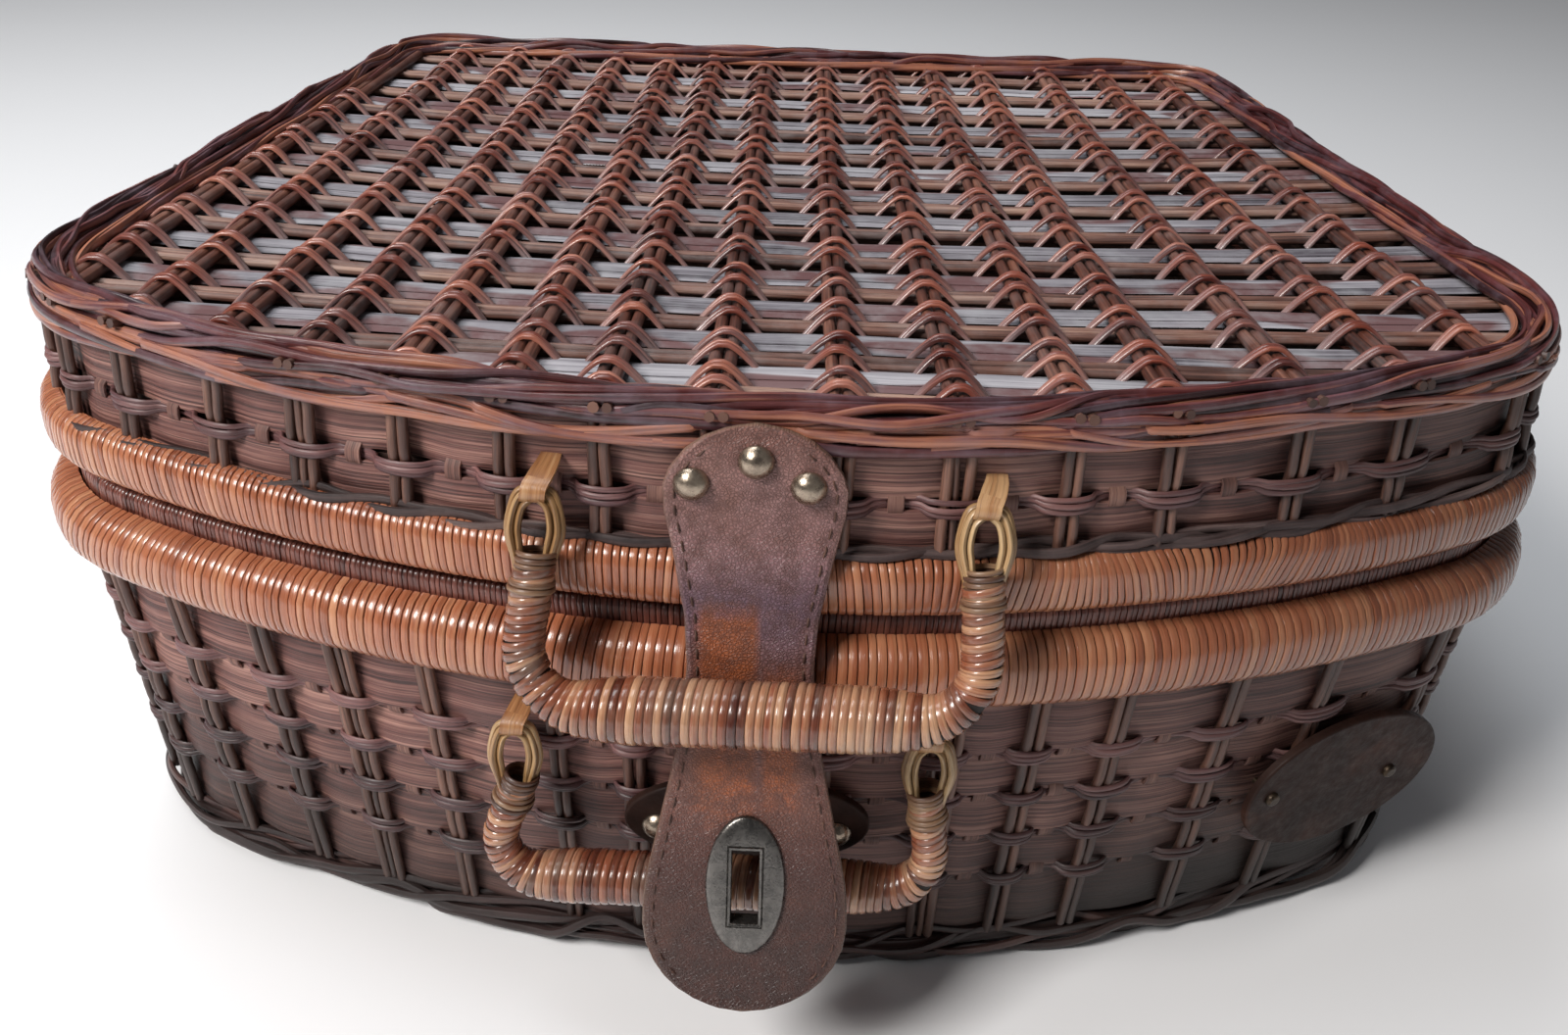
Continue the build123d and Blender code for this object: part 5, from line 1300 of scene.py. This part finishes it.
dome = [(0.02, 3.6), (1.0, 3.5), (2.0, 3.22), (2.9, 2.76), (3.65, 2.1), (4.25, 1.35), (4.65, 0.6), (4.78, 0.2), (4.75, -0.1), (0.02, -0.2)]
B = Build()
for sx, sz in ((-16.4, 191.0), (0.0, 198.0), (13.6, 191.0)):
    turned(B, (STRAP_X + sx, -23.4, sz), (0, -1, 0), dome)
B.make("strap_stud_heads", M_STUD, "lid", "strap_studs")
a_ = math.atan2(13, 106)
OUT = np.array([0, -math.cos(a_), -math.sin(a_)])
B = Build()
for sx in (-26.5, 26.5):
    z = 71.5 - 2.5
    y = -4 - 13 * (z - 20) / 106
    turned(B, np.array([STRAP_X + sx, y, z]) + OUT * (3.6 + 2.5), OUT, dome)
B.make("backing_stud_heads", M_STUD, "base", "clasp_backing_studs")

# eyelet plate: domed oval with a slot, lying on the strap

def plate_pt(u, v, off):
    """u across, v down the strap from the plate's middle, off outwards"""
    return strap_pt(S0 + v, u, off)


k = 72
a = np.arange(k) * 2 * math.pi / k
A_, B_ = 11.0, 20.0
sw, sh = 3.8, 10.5


def slot_ring(r):
    """slot outline grown by r"""
    return (sw + r) * np.clip(np.cos(a) * 1.4143, -1, 1), (sh + r) * np.clip(np.sin(a) * 1.4143, -1, 1)


rows = []
sx_, sy_ = slot_ring(0.0)
ox, oy = A_ * np.cos(a), B_ * np.sin(a)
rows.append((sx_, sy_, np.full(k, -1.9)))
rows.append((sx_, sy_, np.full(k, T2 + 1.75)))
x1, y1 = slot_ring(0.3)
rows.append((x1, y1, np.full(k, T2 + 2.1)))
x1, y1 = slot_ring(0.8)
rows.append((x1, y1, np.full(k, T2 + 2.1)))
x1, y1 = slot_ring(1.1)
rows.append((x1, y1, np.full(k, T2 + 1.65)))
x1, y1 = slot_ring(1.3)
for f in (0.0, 0.15, 0.3, 0.45, 0.6, 0.72, 0.83, 0.91, 0.97):
    hgt = T2 + 0.55 + 1.35 * np.sqrt(max(0.0, 1 - f ** 2.6))
    rows.append((x1 * (1 - f) + ox * f, y1 * (1 - f) + oy * f, np.full(k, hgt)))
rows.append((ox * 1.0, oy * 1.0, np.full(k, T2 + 0.35)))
rows.append((ox * 1.0, oy * 1.0, np.full(k, T2 + 0.05)))
rows.append((ox * 0.97, oy * 0.985, np.full(k, T2 - 0.1)))
P = np.stack([plate_pt(x, y, o) for x, y, o in rows], 0)
B = Build(); B.grid(P[:, ::-1], closed_v=True)
B.make("eyelet_plate_dome", M_PLATE, "strap_end", "eyelet_plate_front")
rows = [(sx_, sy_, np.full(k, -T2 - 0.1)), (sx_, sy_, np.full(k, -T2 - 1.0)), (ox * 0.9, oy * 0.94, np.full(k, -T2 - 0.9)), (ox * 0.9, oy * 0.94, np.full(k, -T2 - 0.05))]
P = np.stack([plate_pt(x, y, o) for x, y, o in rows], 0)
B = Build(); B.grid(P, closed_v=True)
B.make("eyelet_plate_rear", M_PLATE, "strap_end", "eyelet_plate_back")

for nd, mt in (("clasp_backing", M_LEATHER_DARK), ("clasp_post", M_PLATE), ("turn_button", M_STUD), ("clasp_washers", M_PLATE), ("strap_washers", M_PLATE),
               ("side_badge", M_LEATHER_DARK), ("side_badge_rivets", M_RIVET),
               ("lower_handle_pegs", M_PEG), ("upper_handle_pegs", M_PEG), ("base_hinge_loops", M_HINGECANE), ("lid_hinge_loops", M_HINGECANE), ("hinge_pins", M_PEG)):
    recolor(nd, mt)


# ------------------------------------------------------------------ floor, light, camera
def plane(name, size, z, col):
    me = bpy.data.meshes.new(name)
    s = size / 2
    me.from_pydata([(-s, -s, z), (s, -s, z), (s, s, z), (-s, s, z)], [], [(0, 1, 2, 3)])
    ob = bpy.data.objects.new(name, me)
    bpy.context.scene.collection.objects.link(ob)
    M = Mat(name)
    M.set(color=col, rough=0.7)
    me.materials.append(M.m)
    return ob


plane("floor", 14.0, 0.0, srgb(240, 240, 242, 1.0))


def area(name, loc, target, size, power, color=(1, 1, 1)):
    li = bpy.data.lights.new(name, "AREA")
    li.shape = "RECTANGLE"; li.size, li.size_y = size
    li.energy = power; li.color = color
    ob = bpy.data.objects.new(name, li)
    bpy.context.scene.collection.objects.link(ob)
    ob.location = loc
    d = np.array(target) - np.array(loc)
    from mathutils import Vector
    ob.rotation_euler = Vector(d).to_track_quat("-Z", "Y").to_euler()
    return ob


area("key", (-1.12, -1.05, 1.5), (0, -0.05, 0.1), (0.6, 0.6), 44, (1.0, 0.975, 0.94))
area("top", (-0.5, 0.35, 1.9), (0, 0.05, 0.1), (1.2, 0.9), 21, (0.93, 0.97, 1.0))
area("fill", (1.5, -1.5, 0.8), (0, 0, 0.1), (1.0, 1.0), 0.6, (1.0, 0.96, 0.92))
w = bpy.data.worlds.new("world"); bpy.context.scene.world = w
w.use_nodes = True
w.node_tree.nodes["Background"].inputs[0].default_value = (0.95, 0.96, 1.0, 1)
w.node_tree.nodes["Background"].inputs[1].default_value = 0.10
bpy.context.scene.view_settings.view_transform = "Standard"

from mathutils import Matrix, Vector
yaw, pit, rol = math.radians(-0.29642), math.radians(26.42541), math.radians(2.15497)
fwd = Vector((math.sin(yaw) * math.cos(pit), math.cos(yaw) * math.cos(pit), -math.sin(pit)))
rr = Vector((math.cos(yaw), -math.sin(yaw), 0))
uu = rr.cross(fwd)
right = math.cos(rol) * rr + math.sin(rol) * uu
upv = -math.sin(rol) * rr + math.cos(rol) * uu
cam = bpy.data.cameras.new("camera")
cam.lens, cam.sensor_width, cam.shift_y = 31.5, 36.0, -0.08
cam.clip_start = 0.01
co = bpy.data.objects.new("camera", cam)
bpy.context.scene.collection.objects.link(co)
mat = Matrix((right, upv, -fwd)).transposed().to_4x4()
mat.translation = Vector(m([0.343, -324.913, 367.883]))
co.matrix_world = mat
bpy.context.scene.camera = co

bpy.context.view_layer.update()
